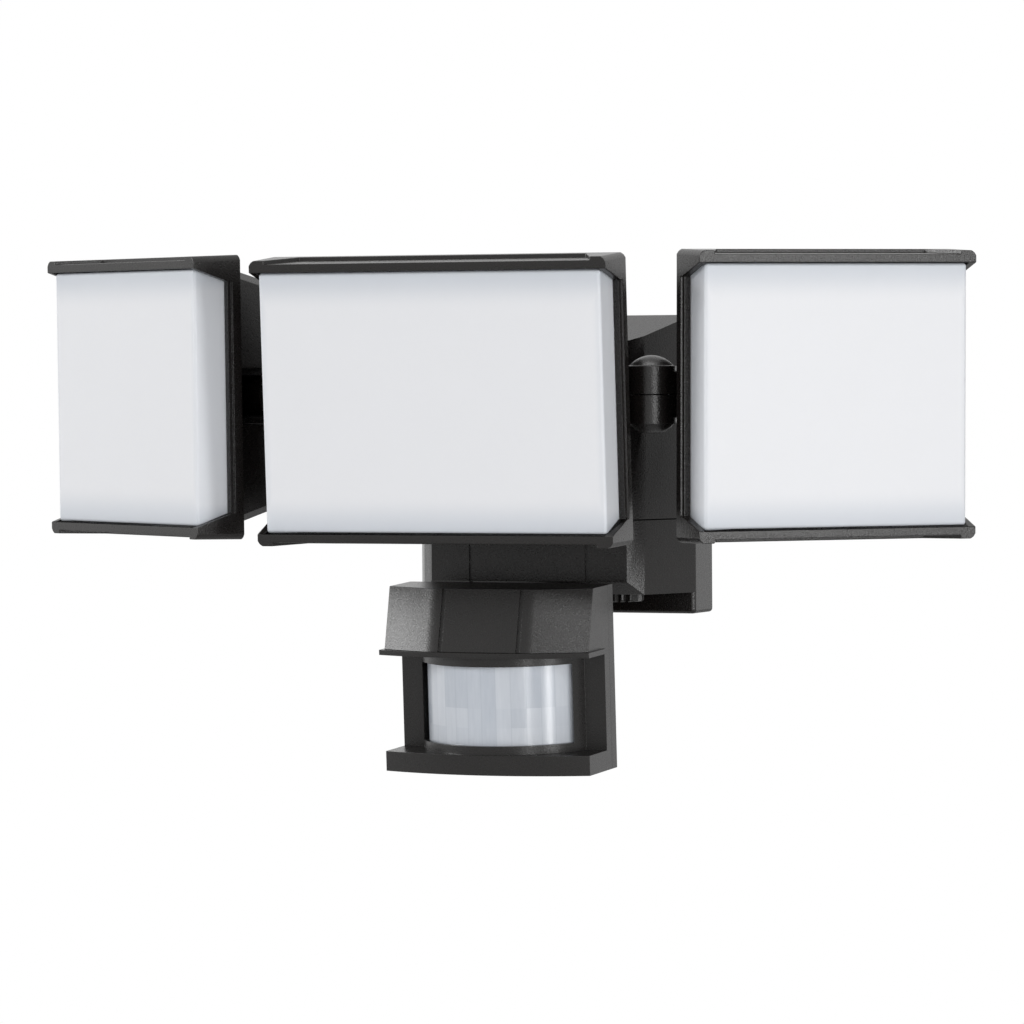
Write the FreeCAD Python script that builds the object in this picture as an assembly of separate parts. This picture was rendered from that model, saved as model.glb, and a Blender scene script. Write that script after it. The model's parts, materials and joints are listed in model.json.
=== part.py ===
import FreeCAD, Part
import math
import os

# Three-head LED security light with a motion sensor, wall mounted.
# Millimetres. +Z up, the wall is the plane y = 0, and the light faces -Y.
# The origin is the centre of the mounting strap's back, on the wall.

V = FreeCAD.Vector
PARTS_FOLDER = "parts"

# ---- fits ----
SEAT_GAP = 0.3          # between pieces that turn against each other
RUNNING_FIT = 0.05      # radial, shaft in its bore
SLIP_FIT = 0.2          # between fixed pieces that drop into each other

# ---- wall canopy, strap and gasket ----
CANOPY_SIZE = 115.0
CANOPY_DEPTH = 18.5
CANOPY_EDGE = 1.6       # rounded front edges and corners
CANOPY_RIM = 2.5        # rim outside the gasket
CANOPY_SIDE = 7.5       # side wall behind the gasket
CANOPY_FACE = 2.5       # front wall
GASKET_THICK = 3.0
WIRE_HOLE_HALF_WIDTH = 28.0
WIRE_HOLE_TOP = -20.0
WIRE_HOLE_BOTTOM = -43.0
STRAP_THICK = 2.0
STRAP_HEIGHT = 20.0
STRAP_END_GAP = 1.0     # from each bent end to the canopy's side wall
STRAP_TAB_DEPTH = 13.0
STRAP_SLOT_SPACING = 76.0
STRAP_SLOT_LENGTH = 14.0
STRAP_SLOT_RADIUS = 2.4
SIDE_SCREW_RADIUS = 2.0
SIDE_SCREW_HEAD_RADIUS = 4.0
SIDE_SCREW_HEAD_THICK = 2.4
SIDE_SCREW_DEPTH = 8.0  # from the wall to the screw's axis
GROUND_SCREW_X = 14.0
GROUND_SCREW_RADIUS = 1.9
GROUND_SCREW_HEAD_RADIUS = 3.8
GROUND_SCREW_HEAD_THICK = 2.2

# ---- junction housing and the sensor carrier under it ----
HOUSING_FRONT_Y = -46.5
HOUSING_FRONT_HALF = 40.75
HOUSING_CORNER = 5.6    # corner each side of the front
CORNER_TURN = 45.0      # degrees
HOUSING_TOP_FRONT = 47.4
HOUSING_BOTTOM = -49.3
HOUSING_BEVEL = 4.9     # bevel under the front
HOUSING_WALL = 2.8
SEAM_Z = -20.5
SEAM_GAP = 0.4
GROOVE_X = 24.2         # two upright grooves in the front
GROOVE_WIDTH = 1.5
GROOVE_DEPTH = 0.8
HOUSING_SCREW_X = 46.0
HOUSING_SCREW_Z = 46.0
CARRIER_SCREW_Z = -40.0
SCREW_RADIUS = 1.9
SCREW_HEAD_RADIUS = 3.6
SCREW_HEAD_THICK = 2.2
SCREW_HEAD_TAPER = 0.8   # smaller radius at the head's top
SCREW_LENGTH = 12.0
SCREW_BOSS_RADIUS = 4.6
SCREW_BOSS_RIB = 2.4     # web from a boss to the side wall
CAP_NUT_X = 30.8
CAP_NUT_Y = -30.0
CAP_NUT_RADIUS = 9.5
CAP_NUT_THICK = 2.9
CAP_NUT_ROUNDING = 0.9
CAP_NUT_FLUTES = 18
CAP_NUT_FLUTE_DEPTH = 0.8
CAP_NUT_STUD_RADIUS = 3.0
CAP_NUT_STUD_LENGTH = 9.0
CAP_NUT_BOSS_RADIUS = 5.5
DRIVER_HALF_WIDTH = 27.0
DRIVER_DEPTH = 17.0
DRIVER_HEIGHT = 26.0
DRIVER_BOTTOM = -15.0
DRIVER_EAR = 6.0
DRIVER_EAR_THICK = 2.0
DRIVER_CHAMFER = 1.0
TERMINAL_HALF_WIDTH = 15.0
TERMINAL_DEPTH = 8.0
TERMINAL_HEIGHT = 11.0
TERMINAL_BOTTOM = 20.0
TERMINAL_WAYS = 3
TERMINAL_HOLE_RADIUS = 1.8
TERMINAL_HOLE_DEPTH = 5.0

# ---- knuckles: a half on the arm below, a half on the swivel above ----
KNUCKLE_Y = -100.0
KNUCKLE_Z = 27.5
KNUCKLE_X = 73.0        # the two side knuckles
KNUCKLE_RADIUS = 9.2
KNUCKLE_HALF_HEIGHT = 10.7
KNUCKLE_TOP_DOME = 3.9
KNUCKLE_TOP_DOME_RADIUS = 8.2
KNUCKLE_BOTTOM_DOME = 3.5
KNUCKLE_BOTTOM_DOME_RADIUS = 8.2
KNUCKLE_BOTTOM_FLAT_RADIUS = 3.6
NECK_HALF_WIDTH = 4.5
NECK_HALF_HEIGHT = 8.6
NECK_START = 9.9        # where the neck may pass the other half's rim
NECK_END = 14.0
BOLT_RADIUS = 1.9
BOLT_HEAD_RADIUS = 2.9
BOLT_HEAD_THICK = 2.0
BOLT_END = 9.5          # above the knuckle's split

# ---- arms from the housing to the knuckles ----
ARM_ROOT_RADIUS = 9.0
ARM_TIP_RADIUS = 7.6
ARM_FLANGE_RADIUS = 10.5
ARM_FLANGE_THICK = 3.0
ARM_BOSS_RADIUS = 10.0
ARM_BOSS_HEIGHT = 5.0   # stands out of the housing's surface
ARM_BOSS_INSIDE = 8.0
ARM_SPIGOT_RADIUS = 6.0
ARM_NUT_RADIUS = 9.0
ARM_NUT_THICK = 3.5
THREAD_END = 1.2        # spigots stand out of their nuts

# ---- lamp heads ----
SIDE_HEAD_WIDTH = 111.0
CENTRE_HEAD_WIDTH = 141.5
HEAD_HEIGHT = 106.5
FRAME_DEPTH = 20.5
FRAME_DRAFT = 1.5       # degrees, wider towards the rear
FRAME_CORNER = 1.9
BROW_THICK = 4.5
SIDE_THICK = 2.8
SIDE_SETBACK = 15.0     # side walls start this far behind the brows
SIDE_SLOPE_HEIGHT = 5.0
RELIEF_DEPTH = 1.4
RELIEF_LENGTH = 16.5
RELIEF_END = 6.0        # corner block beside the relief
RELIEF_SPLAY = 7.6
REAR_WALL = 2.0
REAR_OPENING_INSET = 28.0
DIFFUSER_FRONT = 1.8    # behind the brow's edge
DIFFUSER_WALL = 1.8
DIFFUSER_ROUNDING = 2.0
HEAT_PLATE_THICK = 1.4
LED_BOARD_THICK = 1.6
LED_SIZE = 3.5
LED_THICK = 0.9
LED_PITCH = 20.0
LED_ROWS = 4
LAMP_GASKET_THICK = 0.8
LAMP_GASKET_WIDTH = 4.0
LAMP_BACK_INSET_X = 8.0
LAMP_BACK_INSET_Z = 4.2
LAMP_BACK_TAPER = 14.0  # degrees
LAMP_BACK_BEVEL = 3.1
LAMP_BACK_WALL = 2.4
LAMP_BACK_REAR = 55.0   # behind the brow's edge
LAMP_SCREW_INSET_X = 24.0
LAMP_SCREW_INSET_Z = 21.0
LAMP_SCREW_BOSS_RADIUS = 5.0
LAMP_SCREW_WELL_RADIUS = 3.8
LAMP_SCREW_SEAT = 8.0   # boss thickness under the screw's head

# ---- tilt pivots of the lamp heads ----
CHANNEL_HALF_HEIGHT = 10.8
CHANNEL_FRONT = 19.5    # in front of the tilt axis
CHANNEL_DEPTH = 24.0
CHANNEL_WALL = 3.5
SHAFT_RADIUS = 8.0
TRUNNION_RADIUS = 5.5
PIVOT_NUT_RADIUS = 8.2
PIVOT_NUT_THICK = 4.0
POCKET_HALF_WIDTH = 14.6
POCKET_HALF_HEIGHT = 18.0
POCKET_FLOOR = 14.5     # in front of the tilt axis
SIDE_AXIS_BACK = 44.0   # tilt axis behind the brow's edge
CENTRE_AXIS_BACK = 42.0
SIDE_HEAD_OFFSET = 56.0 # head's middle beside its knuckle

# ---- how the heads stand ----
LEFT_PAN_DEGREES = -32.3
CENTRE_PAN_DEGREES = 2.0
RIGHT_PAN_DEGREES = 44.5
LEFT_TILT_DEGREES = 0.5
CENTRE_TILT_DEGREES = 3.5
RIGHT_TILT_DEGREES = 1.0

# ---- motion sensor ----
SENSOR_PAN_Y = -29.0
SENSOR_AXIS_Y = -50.0
SENSOR_AXIS_Z = -82.0
SENSOR_TILT_DEGREES = 3.0
SENSOR_HALF_WIDTH = 42.0
SENSOR_TOP = 38.5       # these heights are from the tilt axis
SENSOR_BOTTOM = -31.4
LEDGE_TOP = -23.8
VISOR_BOTTOM = 13.0
VISOR_THICK = 2.0
VISOR_OVERHANG = 1.2
CAP_BOTTOM_CORNER = 37.3 # these depths are in front of the tilt axis
CAP_TOP_CORNER = 31.0
CAP_FACET = 20.0        # from the case's side to the cap's ridge
CAP_BULGE = 7.0
CAP_WALL = 2.2
CAP_GROOVE_X = 16.0
CAP_GROOVE_WIDTH = 1.6
CAP_GROOVE_DEPTH = 0.8
VISOR_CORNER = 39.8
LEDGE_CORNER = 38.7
RECESS_WALL = 21.7
CASE_SEAM = 17.0
CASE_BACK = 7.6
CASE_REAR_BEVEL = 3.0
CASE_REAR_STRAIGHT = 5.0
LENS_FRONT = 43.0       # in front of the tilt axis
LENS_SIDE = 11.0        # from the case's side to the window
LENS_MARGIN = 3.0       # the lens's radius over the window's half width
LENS_WALL = 1.4
LENS_TOP = 9.5
LENS_BOTTOM = -20.5
LENS_LAP = 1.2
RIM_PROUD = 2.0
STILE_WIDTH = 3.0
SENSOR_BOARD_GAP = 1.8  # from the board to the screw bosses
SENSOR_BOARD_THICK = 1.6
SENSOR_BOARD_TOP = 25.0
SENSOR_BOARD_BOTTOM = -18.0
PIR_RADIUS = 4.1
PIR_HEIGHT = 3.4
PIR_FLANGE_RADIUS = 4.8
PIR_FLANGE_THICK = 0.7
DIAL_X = 18.0
DIAL_FRONT = 29.0
DIAL_RADIUS = 5.2
DIAL_THICK = 3.6
DIAL_STEM_RADIUS = 1.6
DIAL_POCKET_DEPTH = 4.2
DIAL_SLOT = 1.2
DIAL_SLOT_DEPTH = 1.0
DIAL_SLOT_REACH = 3.6
DIAL_STEM_TOP = 6.6      # above the sensor's underside
DIAL_FLUTES = 12
DIAL_FLUTE_DEPTH = 0.5

# ---- the sensor's arm ----
SOCKET_RADIUS = 7.0
SOCKET_FLANGE_RADIUS = 9.3
SOCKET_FLANGE_THICK = 3.2
SOCKET_NUT_RADIUS = 9.6
SOCKET_NUT_THICK = 4.0
COLUMN_HALF_WIDTH = 6.5
COLUMN_HALF_DEPTH = 6.5
COLUMN_CORNER = 5.0
SENSOR_BARREL_HALF_WIDTH = 9.0
EAR_THICK = 3.5
EAR_RADIUS = 7.0
TILT_BOLT_RADIUS = 2.5
TILT_BOLT_HEAD_RADIUS = 4.2
TILT_BOLT_HEAD_THICK = 2.6
SMALL_SCREW_RADIUS = 1.4
SMALL_SCREW_HEAD_RADIUS = 2.6
SMALL_SCREW_HEAD_THICK = 1.8
SMALL_SCREW_BOSS_RADIUS = 4.2
SENSOR_SCREW_INSET = 6.0
BOARD_POST_RADIUS = 2.6
BOARD_POST_INSET = 4.0

BIG = 400.0             # longer than anything here, for cuts that go right through
PAST = 1.0              # how far a cut starts outside the face it enters

# ---- worked out ----
FRAME_FLARE = FRAME_DEPTH * math.tan(math.radians(FRAME_DRAFT))
LAMP_BACK_FRONT = FRAME_DEPTH + LAMP_GASKET_THICK
LAMP_BACK_SLOPE = math.tan(math.radians(LAMP_BACK_TAPER))
HEAD_HALF = HEAD_HEIGHT / 2
CANOPY_HALF = CANOPY_SIZE / 2
FRAME_CAVITY = FRAME_DEPTH - REAR_WALL
LED_BOARD_FRONT = FRAME_CAVITY - HEAT_PLATE_THICK - LED_BOARD_THICK
BARREL_RADIUS = CASE_BACK - SEAT_GAP * 2
CAP_RIDGE_X = SENSOR_HALF_WIDTH - CAP_FACET
LENS_HALF_WIDTH = SENSOR_HALF_WIDTH - LENS_SIDE
LENS_RADIUS = LENS_HALF_WIDTH + LENS_MARGIN
LENS_CENTRE = LENS_FRONT - LENS_RADIUS
SENSOR_SCREW_X = SENSOR_HALF_WIDTH - SENSOR_SCREW_INSET
SENSOR_BOARD_HALF_WIDTH = SENSOR_SCREW_X - SMALL_SCREW_BOSS_RADIUS - SENSOR_BOARD_GAP
BOARD_POST_X = SENSOR_BOARD_HALF_WIDTH - BOARD_POST_INSET
HEADS = [
    {"name": "left", "side": -1, "pan": LEFT_PAN_DEGREES, "tilt": LEFT_TILT_DEGREES,
     "half": SIDE_HEAD_WIDTH / 2, "back": SIDE_AXIS_BACK},
    {"name": "centre", "side": 0, "pan": CENTRE_PAN_DEGREES, "tilt": CENTRE_TILT_DEGREES,
     "half": CENTRE_HEAD_WIDTH / 2, "back": CENTRE_AXIS_BACK},
    {"name": "right", "side": 1, "pan": RIGHT_PAN_DEGREES, "tilt": RIGHT_TILT_DEGREES,
     "half": SIDE_HEAD_WIDTH / 2, "back": SIDE_AXIS_BACK},
]


# ---- small helpers ----
def block(x, y, z):
    """A box between the two ends given for each axis."""
    low = V(min(x), min(y), min(z))
    return Part.makeBox(max(x) - min(x), max(y) - min(y), max(z) - min(z), low)


def rod(radius, start, end):
    """A round bar between two points."""
    return Part.makeCylinder(radius, start.distanceToPoint(end), start, end - start)


def taper(start_radius, end_radius, start, end):
    """A cone between two points."""
    return Part.makeCone(start_radius, end_radius, start.distanceToPoint(end), start, end - start)


def outline(points):
    """A closed wire of straight edges."""
    return Part.makePolygon(points + [points[0]])


def prism(points, sweep):
    """A closed outline swept along a vector."""
    return Part.Face(outline(points)).extrude(sweep)


def bevelled_rectangle(half_width, half_height, y, bevel):
    """An upright rectangle with cut corners, facing the viewer at depth y."""
    inner_x = half_width - bevel
    inner_z = half_height - bevel
    right = [(inner_x, half_height), (half_width, inner_z), (half_width, -inner_z), (inner_x, -half_height)]
    left = [(-x, -z) for x, z in right]
    return outline([V(x, y, z) for x, z in right + left])


def loft(wires):
    """A straight-sided solid through closed wires."""
    return Part.makeLoft(wires, True, True)


def fluted_disc(radius, depth, count, low, thick):
    """A level disc with sharp flutes round its rim, standing on a point."""
    points = []
    for step in range(2 * count):
        angle = math.radians(180 / count * step)
        reach = radius - depth * (step % 2)
        points.append(low + V(reach * math.cos(angle), reach * math.sin(angle), 0))
    return prism(points, V(0, 0, thick))


def edges_where(shape, test):
    """The edges whose middle passes the test."""
    return [edge for edge in shape.Edges if test(edge.CenterOfMass)]


def turned(shape, angle, axis, centre=V(0, 0, 0)):
    """A copy turned about an axis, in degrees."""
    copy = shape.copy()
    copy.rotate(centre, axis, angle)
    return copy


def moved(shape, offset):
    """A copy moved by an offset."""
    copy = shape.copy()
    copy.translate(offset)
    return copy


def pan_screw(head, tip):
    """A screw with its head's seat at the first point and its end at the second."""
    back = (head - tip).normalize()
    shank = rod(SCREW_RADIUS, tip, head)
    top_radius = SCREW_HEAD_RADIUS - SCREW_HEAD_TAPER
    return shank.fuse(taper(SCREW_HEAD_RADIUS, top_radius, head, head + back * SCREW_HEAD_THICK))


# ---- canopy, gasket and strap ----
def wall_canopy():
    half = CANOPY_HALF
    body = block((-half, half), (0, -CANOPY_DEPTH), (-half, half))
    rounded = edges_where(body, lambda middle: middle.y < -CANOPY_EDGE)
    body = body.makeFillet(CANOPY_EDGE, rounded)
    pocket = half - CANOPY_RIM
    cavity = half - CANOPY_SIDE
    body = body.cut(block((-pocket, pocket), (PAST, -GASKET_THICK), (-pocket, pocket)))
    body = body.cut(block((-cavity, cavity), (PAST, CANOPY_FACE - CANOPY_DEPTH), (-cavity, cavity)))
    wire_x = (-WIRE_HOLE_HALF_WIDTH, WIRE_HOLE_HALF_WIDTH)
    body = body.cut(block(wire_x, (-BIG, 0), (WIRE_HOLE_BOTTOM, WIRE_HOLE_TOP)))
    for x, z in housing_screw_places():
        body = body.cut(rod(SCREW_RADIUS + SLIP_FIT, V(x, 0, z), V(x, -CANOPY_DEPTH - PAST, z)))
    for side in (-1, 1):
        body = body.cut(side_screw_hole(side))
    return body


def side_screw_hole(side):
    outside = V(side * (CANOPY_HALF + PAST), -SIDE_SCREW_DEPTH, 0)
    seat = V(side * (CANOPY_HALF - SIDE_SCREW_HEAD_THICK - SLIP_FIT), -SIDE_SCREW_DEPTH, 0)
    inside = V(side * (CANOPY_HALF - CANOPY_SIDE - PAST), -SIDE_SCREW_DEPTH, 0)
    head = rod(SIDE_SCREW_HEAD_RADIUS + SLIP_FIT, seat, outside)
    return head.fuse(rod(SIDE_SCREW_RADIUS + SLIP_FIT, inside, outside))


def canopy_side_screws():
    screws = []
    for side in (-1, 1):
        seat = V(side * (CANOPY_HALF - SIDE_SCREW_HEAD_THICK - SLIP_FIT), -SIDE_SCREW_DEPTH, 0)
        outside = seat + V(side * SIDE_SCREW_HEAD_THICK, 0, 0)
        tip = V(side * (strap_tab_x() - STRAP_THICK * 2), -SIDE_SCREW_DEPTH, 0)
        screws.append(rod(SIDE_SCREW_HEAD_RADIUS, seat, outside).fuse(rod(SIDE_SCREW_RADIUS, tip, outside)))
    return Part.makeCompound(screws)


def wall_gasket():
    outer = CANOPY_HALF - CANOPY_RIM - SLIP_FIT
    inner = CANOPY_HALF - CANOPY_SIDE + SLIP_FIT
    ring = block((-outer, outer), (0, -GASKET_THICK), (-outer, outer))
    return ring.cut(block((-inner, inner), (PAST, -GASKET_THICK - PAST), (-inner, inner)))


def strap_tab_x():
    return CANOPY_HALF - CANOPY_SIDE - STRAP_END_GAP


def mounting_strap():
    end = strap_tab_x()
    half = STRAP_HEIGHT / 2
    strap = block((-end, end), (0, -STRAP_THICK), (-half, half))
    for side in (-1, 1):
        tab = block((side * end, side * (end - STRAP_THICK)), (0, -STRAP_TAB_DEPTH), (-half, half))
        strap = strap.fuse(tab)
        hole_end = V(side * STRAP_THICK, -SIDE_SCREW_DEPTH, 0)
        strap = strap.cut(rod(SIDE_SCREW_RADIUS, V(side * BIG, -SIDE_SCREW_DEPTH, 0), hole_end))
        strap = strap.cut(moved(slot(), V(side * STRAP_SLOT_SPACING / 2, 0, 0)))
    ground = rod(GROUND_SCREW_RADIUS, V(GROUND_SCREW_X, PAST, 0), V(GROUND_SCREW_X, -STRAP_THICK - PAST, 0))
    return strap.cut(ground).removeSplitter()


def slot():
    reach = STRAP_SLOT_LENGTH / 2 - STRAP_SLOT_RADIUS
    middle = block((-reach, reach), (PAST, -STRAP_THICK - PAST), (-STRAP_SLOT_RADIUS, STRAP_SLOT_RADIUS))
    for side in (-1, 1):
        end = rod(STRAP_SLOT_RADIUS, V(side * reach, PAST, 0), V(side * reach, -STRAP_THICK - PAST, 0))
        middle = middle.fuse(end)
    return middle


def ground_screw():
    seat = V(GROUND_SCREW_X, -STRAP_THICK - SLIP_FIT, 0)
    head = rod(GROUND_SCREW_HEAD_RADIUS, seat, seat - V(0, GROUND_SCREW_HEAD_THICK, 0))
    return head.fuse(rod(GROUND_SCREW_RADIUS, V(GROUND_SCREW_X, -SLIP_FIT, 0), seat))


# ---- junction housing and sensor carrier ----
def housing_screw_places():
    top = [(side * HOUSING_SCREW_X, HOUSING_SCREW_Z) for side in (-1, 1)]
    bottom = [(side * HOUSING_SCREW_X, CARRIER_SCREW_Z) for side in (-1, 1)]
    return top + bottom


def housing_plan(inset, z):
    """The plan of the junction body at a height, drawn in by a wall."""
    front = HOUSING_FRONT_Y + inset
    front_half = HOUSING_FRONT_HALF - inset * math.tan(math.radians(CORNER_TURN / 2))
    corner_half = HOUSING_FRONT_HALF + HOUSING_CORNER - inset
    corner_y = HOUSING_FRONT_Y + HOUSING_CORNER + inset * math.tan(math.radians(CORNER_TURN / 2))
    rear_half = CANOPY_HALF - inset
    rear = -CANOPY_DEPTH
    right = [(front_half, front), (corner_half, corner_y), (rear_half, rear)]
    left = [(-x, y) for x, y in reversed(right)]
    return [V(x, y, z) for x, y in right + left]


def top_slope(inset):
    """What lies above the housing's sloping top, less a wall."""
    run = BIG
    rise = (CANOPY_HALF - HOUSING_TOP_FRONT) / (-CANOPY_DEPTH - HOUSING_FRONT_Y) * run
    low = HOUSING_TOP_FRONT - inset
    points = [V(-BIG, HOUSING_FRONT_Y - run, low - rise), V(-BIG, HOUSING_FRONT_Y + run, low + rise),
              V(-BIG, HOUSING_FRONT_Y + run, BIG * 2), V(-BIG, HOUSING_FRONT_Y - run, BIG * 2)]
    return prism(points, V(2 * BIG, 0, 0))


def front_bevel(inset):
    """The wedge cut off along the bottom of the front."""
    reach = HOUSING_BEVEL
    front = HOUSING_FRONT_Y + inset
    bottom = HOUSING_BOTTOM + inset
    corner = V(-BIG, front - PAST, bottom - PAST)
    leg = reach + 2 * PAST
    points = [corner, corner + V(0, 0, leg), corner + V(0, leg, 0)]
    return prism(points, V(2 * BIG, 0, 0))


def junction_body(inset):
    """The whole junction body, above and below the seam."""
    bottom = HOUSING_BOTTOM + inset
    body = prism(housing_plan(inset, bottom), V(0, 0, CANOPY_HALF - bottom))
    return body.cut(top_slope(inset)).cut(front_bevel(inset))


def front_grooves():
    cuts = []
    for side in (-1, 1):
        centre = side * GROOVE_X
        x = (centre - GROOVE_WIDTH / 2, centre + GROOVE_WIDTH / 2)
        cuts.append(block(x, (HOUSING_FRONT_Y - PAST, HOUSING_FRONT_Y + GROOVE_DEPTH), (-BIG, BIG)))
    return Part.makeCompound(cuts)


def screw_bosses(places):
    bosses = []
    for x, z in places:
        start = V(x, -CANOPY_DEPTH, z)
        boss = rod(SCREW_BOSS_RADIUS, start, start - V(0, SCREW_LENGTH, 0)).fuse(boss_rib(x, z))
        bosses.append(boss.cut(rod(SCREW_RADIUS, start, start - V(0, SCREW_LENGTH - PAST, 0))))
    return bosses


def boss_rib(x, z):
    """The web that ties a screw boss to the side wall."""
    half = SCREW_BOSS_RIB / 2
    depth = (-CANOPY_DEPTH - SCREW_BOSS_RIB, -CANOPY_DEPTH - SCREW_LENGTH)
    web = block((x, math.copysign(BIG, x)), depth, (z - half, z + half))
    return web.common(junction_body(HOUSING_WALL / 2))


def junction_housing():
    shell = junction_body(0).cut(junction_body(HOUSING_WALL))
    for spec in HEADS:
        shell = shell.fuse(arm_boss(spec).cut(junction_body(HOUSING_WALL)))
    for boss in screw_bosses(housing_screw_places()[:2]):
        shell = shell.fuse(boss)
    shell = shell.cut(front_grooves())
    for spec in HEADS:
        shell = shell.cut(arm_hole(spec)).cut(arm_nut_room(spec))
    above = block((-BIG, BIG), (-BIG, BIG), (SEAM_Z, BIG))
    return shell.common(above).removeSplitter()


def sensor_carrier():
    shell = junction_body(0).cut(junction_body(HOUSING_WALL))
    for boss in screw_bosses(housing_screw_places()[2:]):
        shell = shell.fuse(boss)
    for side in (-1, 1):
        low = V(side * CAP_NUT_X, CAP_NUT_Y, HOUSING_BOTTOM)
        high = low + V(0, 0, CAP_NUT_STUD_LENGTH)
        past = V(0, 0, PAST)
        shell = shell.fuse(rod(CAP_NUT_BOSS_RADIUS, low, high + past))
        shell = shell.cut(rod(CAP_NUT_STUD_RADIUS, low - past, high))
    socket_low = V(0, SENSOR_PAN_Y, HOUSING_BOTTOM - PAST)
    socket_high = V(0, SENSOR_PAN_Y, HOUSING_BOTTOM + HOUSING_WALL + PAST)
    shell = shell.cut(rod(SOCKET_RADIUS + RUNNING_FIT, socket_low, socket_high))
    shell = shell.cut(front_grooves())
    below = block((-BIG, BIG), (-BIG, BIG), (-BIG, SEAM_Z - SEAM_GAP))
    return shell.common(below).removeSplitter()


def carrier_cap_nuts():
    nuts = []
    for side in (-1, 1):
        top = V(side * CAP_NUT_X, CAP_NUT_Y, HOUSING_BOTTOM - SLIP_FIT)
        low = top - V(0, 0, CAP_NUT_THICK)
        nut = rod(CAP_NUT_RADIUS, top, low)
        lower = edges_where(nut, lambda middle: middle.z < low.z + CAP_NUT_ROUNDING)
        nut = nut.makeFillet(CAP_NUT_ROUNDING, lower)
        across = CAP_NUT_RADIUS + CAP_NUT_FLUTE_DEPTH / 2
        past = V(0, 0, PAST)
        knurl = fluted_disc(across, CAP_NUT_FLUTE_DEPTH * 2, CAP_NUT_FLUTES, low - past, CAP_NUT_THICK + 2 * PAST)
        nut = nut.common(knurl)
        stud = rod(CAP_NUT_STUD_RADIUS, top, top + V(0, 0, CAP_NUT_STUD_LENGTH))
        nuts.append(nut.fuse(stud))
    return Part.makeCompound(nuts)


def housing_screws():
    screws = []
    for x, z in housing_screw_places():
        seat = V(x, -CANOPY_DEPTH + CANOPY_FACE, z)
        screws.append(pan_screw(seat, seat - V(0, SCREW_LENGTH, 0)))
    return Part.makeCompound(screws)


def led_driver():
    back = -CANOPY_DEPTH
    top = DRIVER_BOTTOM + DRIVER_HEIGHT
    case = block((-DRIVER_HALF_WIDTH, DRIVER_HALF_WIDTH), (back, back - DRIVER_DEPTH), (DRIVER_BOTTOM, top))
    case = case.makeChamfer(DRIVER_CHAMFER, edges_where(case, lambda middle: middle.y < back - PAST))
    ear_x = DRIVER_HALF_WIDTH + DRIVER_EAR
    ear_z = (DRIVER_BOTTOM + DRIVER_EAR, top - DRIVER_EAR)
    ears = block((-ear_x, ear_x), (back, back - DRIVER_EAR_THICK), ear_z)
    return case.fuse(ears).removeSplitter()


def terminal_block():
    front = -CANOPY_DEPTH + CANOPY_FACE
    back = front + TERMINAL_DEPTH
    top = TERMINAL_BOTTOM + TERMINAL_HEIGHT
    body = block((-TERMINAL_HALF_WIDTH, TERMINAL_HALF_WIDTH), (front, back), (TERMINAL_BOTTOM, top))
    pitch = 2 * TERMINAL_HALF_WIDTH / TERMINAL_WAYS
    for way in range(TERMINAL_WAYS):
        mouth = V(pitch * (way + 0.5) - TERMINAL_HALF_WIDTH, back, TERMINAL_BOTTOM + TERMINAL_HEIGHT / 2)
        end = mouth - V(0, TERMINAL_HOLE_DEPTH, 0)
        body = body.cut(rod(TERMINAL_HOLE_RADIUS, mouth + V(0, PAST, 0), end))
    return body


# ---- arms and knuckles ----
def knuckle_centre(spec):
    return V(spec["side"] * KNUCKLE_X, KNUCKLE_Y, KNUCKLE_Z)


def arm_root(spec):
    """Where an arm's axis leaves the housing: the middle of the front, or of a corner."""
    x = spec["side"] * (HOUSING_FRONT_HALF + HOUSING_CORNER / 2)
    y = HOUSING_FRONT_Y + abs(spec["side"]) * HOUSING_CORNER / 2
    return V(x, y, KNUCKLE_Z)


def arm_direction(spec):
    return (knuckle_centre(spec) - arm_root(spec)).normalize()


def arm_boss(spec):
    root = arm_root(spec)
    way = arm_direction(spec)
    return rod(ARM_BOSS_RADIUS, root - way * ARM_BOSS_INSIDE, root + way * ARM_BOSS_HEIGHT)


def arm_hole(spec):
    root = arm_root(spec)
    way = arm_direction(spec)
    inside = root - way * (ARM_BOSS_INSIDE + PAST)
    return rod(ARM_SPIGOT_RADIUS + RUNNING_FIT, inside, root + way * (ARM_BOSS_HEIGHT + PAST))


def arm_nut_room(spec):
    """The room for a lock nut behind a boss."""
    way = arm_direction(spec)
    seat = arm_root(spec) - way * ARM_BOSS_INSIDE
    end = seat - way * (ARM_NUT_THICK + 2 * SEAT_GAP)
    return rod(ARM_NUT_RADIUS + SEAT_GAP, seat, end)


def dome(base_radius, top_radius, height):
    """A shallow round cap standing on z = 0, with a flat top where its top radius is not nothing."""
    centre_z = (height ** 2 + top_radius ** 2 - base_radius ** 2) / (2 * height)
    sphere = math.hypot(base_radius, centre_z)
    middle_z = height / 2
    middle = V(math.sqrt(sphere ** 2 - (middle_z - centre_z) ** 2), 0, middle_z)
    foot = V(base_radius, 0, 0)
    brink = V(top_radius, 0, height)
    top = V(0, 0, height)
    edges = [Part.makeLine(V(0, 0, 0), foot), Part.Arc(foot, middle, brink).toShape()]
    if top_radius > 0:
        edges.append(Part.makeLine(brink, top))
    edges.append(Part.makeLine(top, V(0, 0, 0)))
    return Part.Face(Part.Wire(edges)).revolve(V(0, 0, 0), V(0, 0, 1), 360)


def neck(way):
    """The bar from a knuckle half to what it carries, clear of the other half, which lies below z = 0."""
    bar = block((0, NECK_END), (-NECK_HALF_WIDTH, NECK_HALF_WIDTH), (-NECK_HALF_HEIGHT, NECK_HALF_HEIGHT))
    bar = bar.cut(rod(NECK_START, V(0, 0, SEAT_GAP / 2), V(0, 0, -BIG)))
    return turned(bar, math.degrees(math.atan2(way.y, way.x)), V(0, 0, 1))


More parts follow.
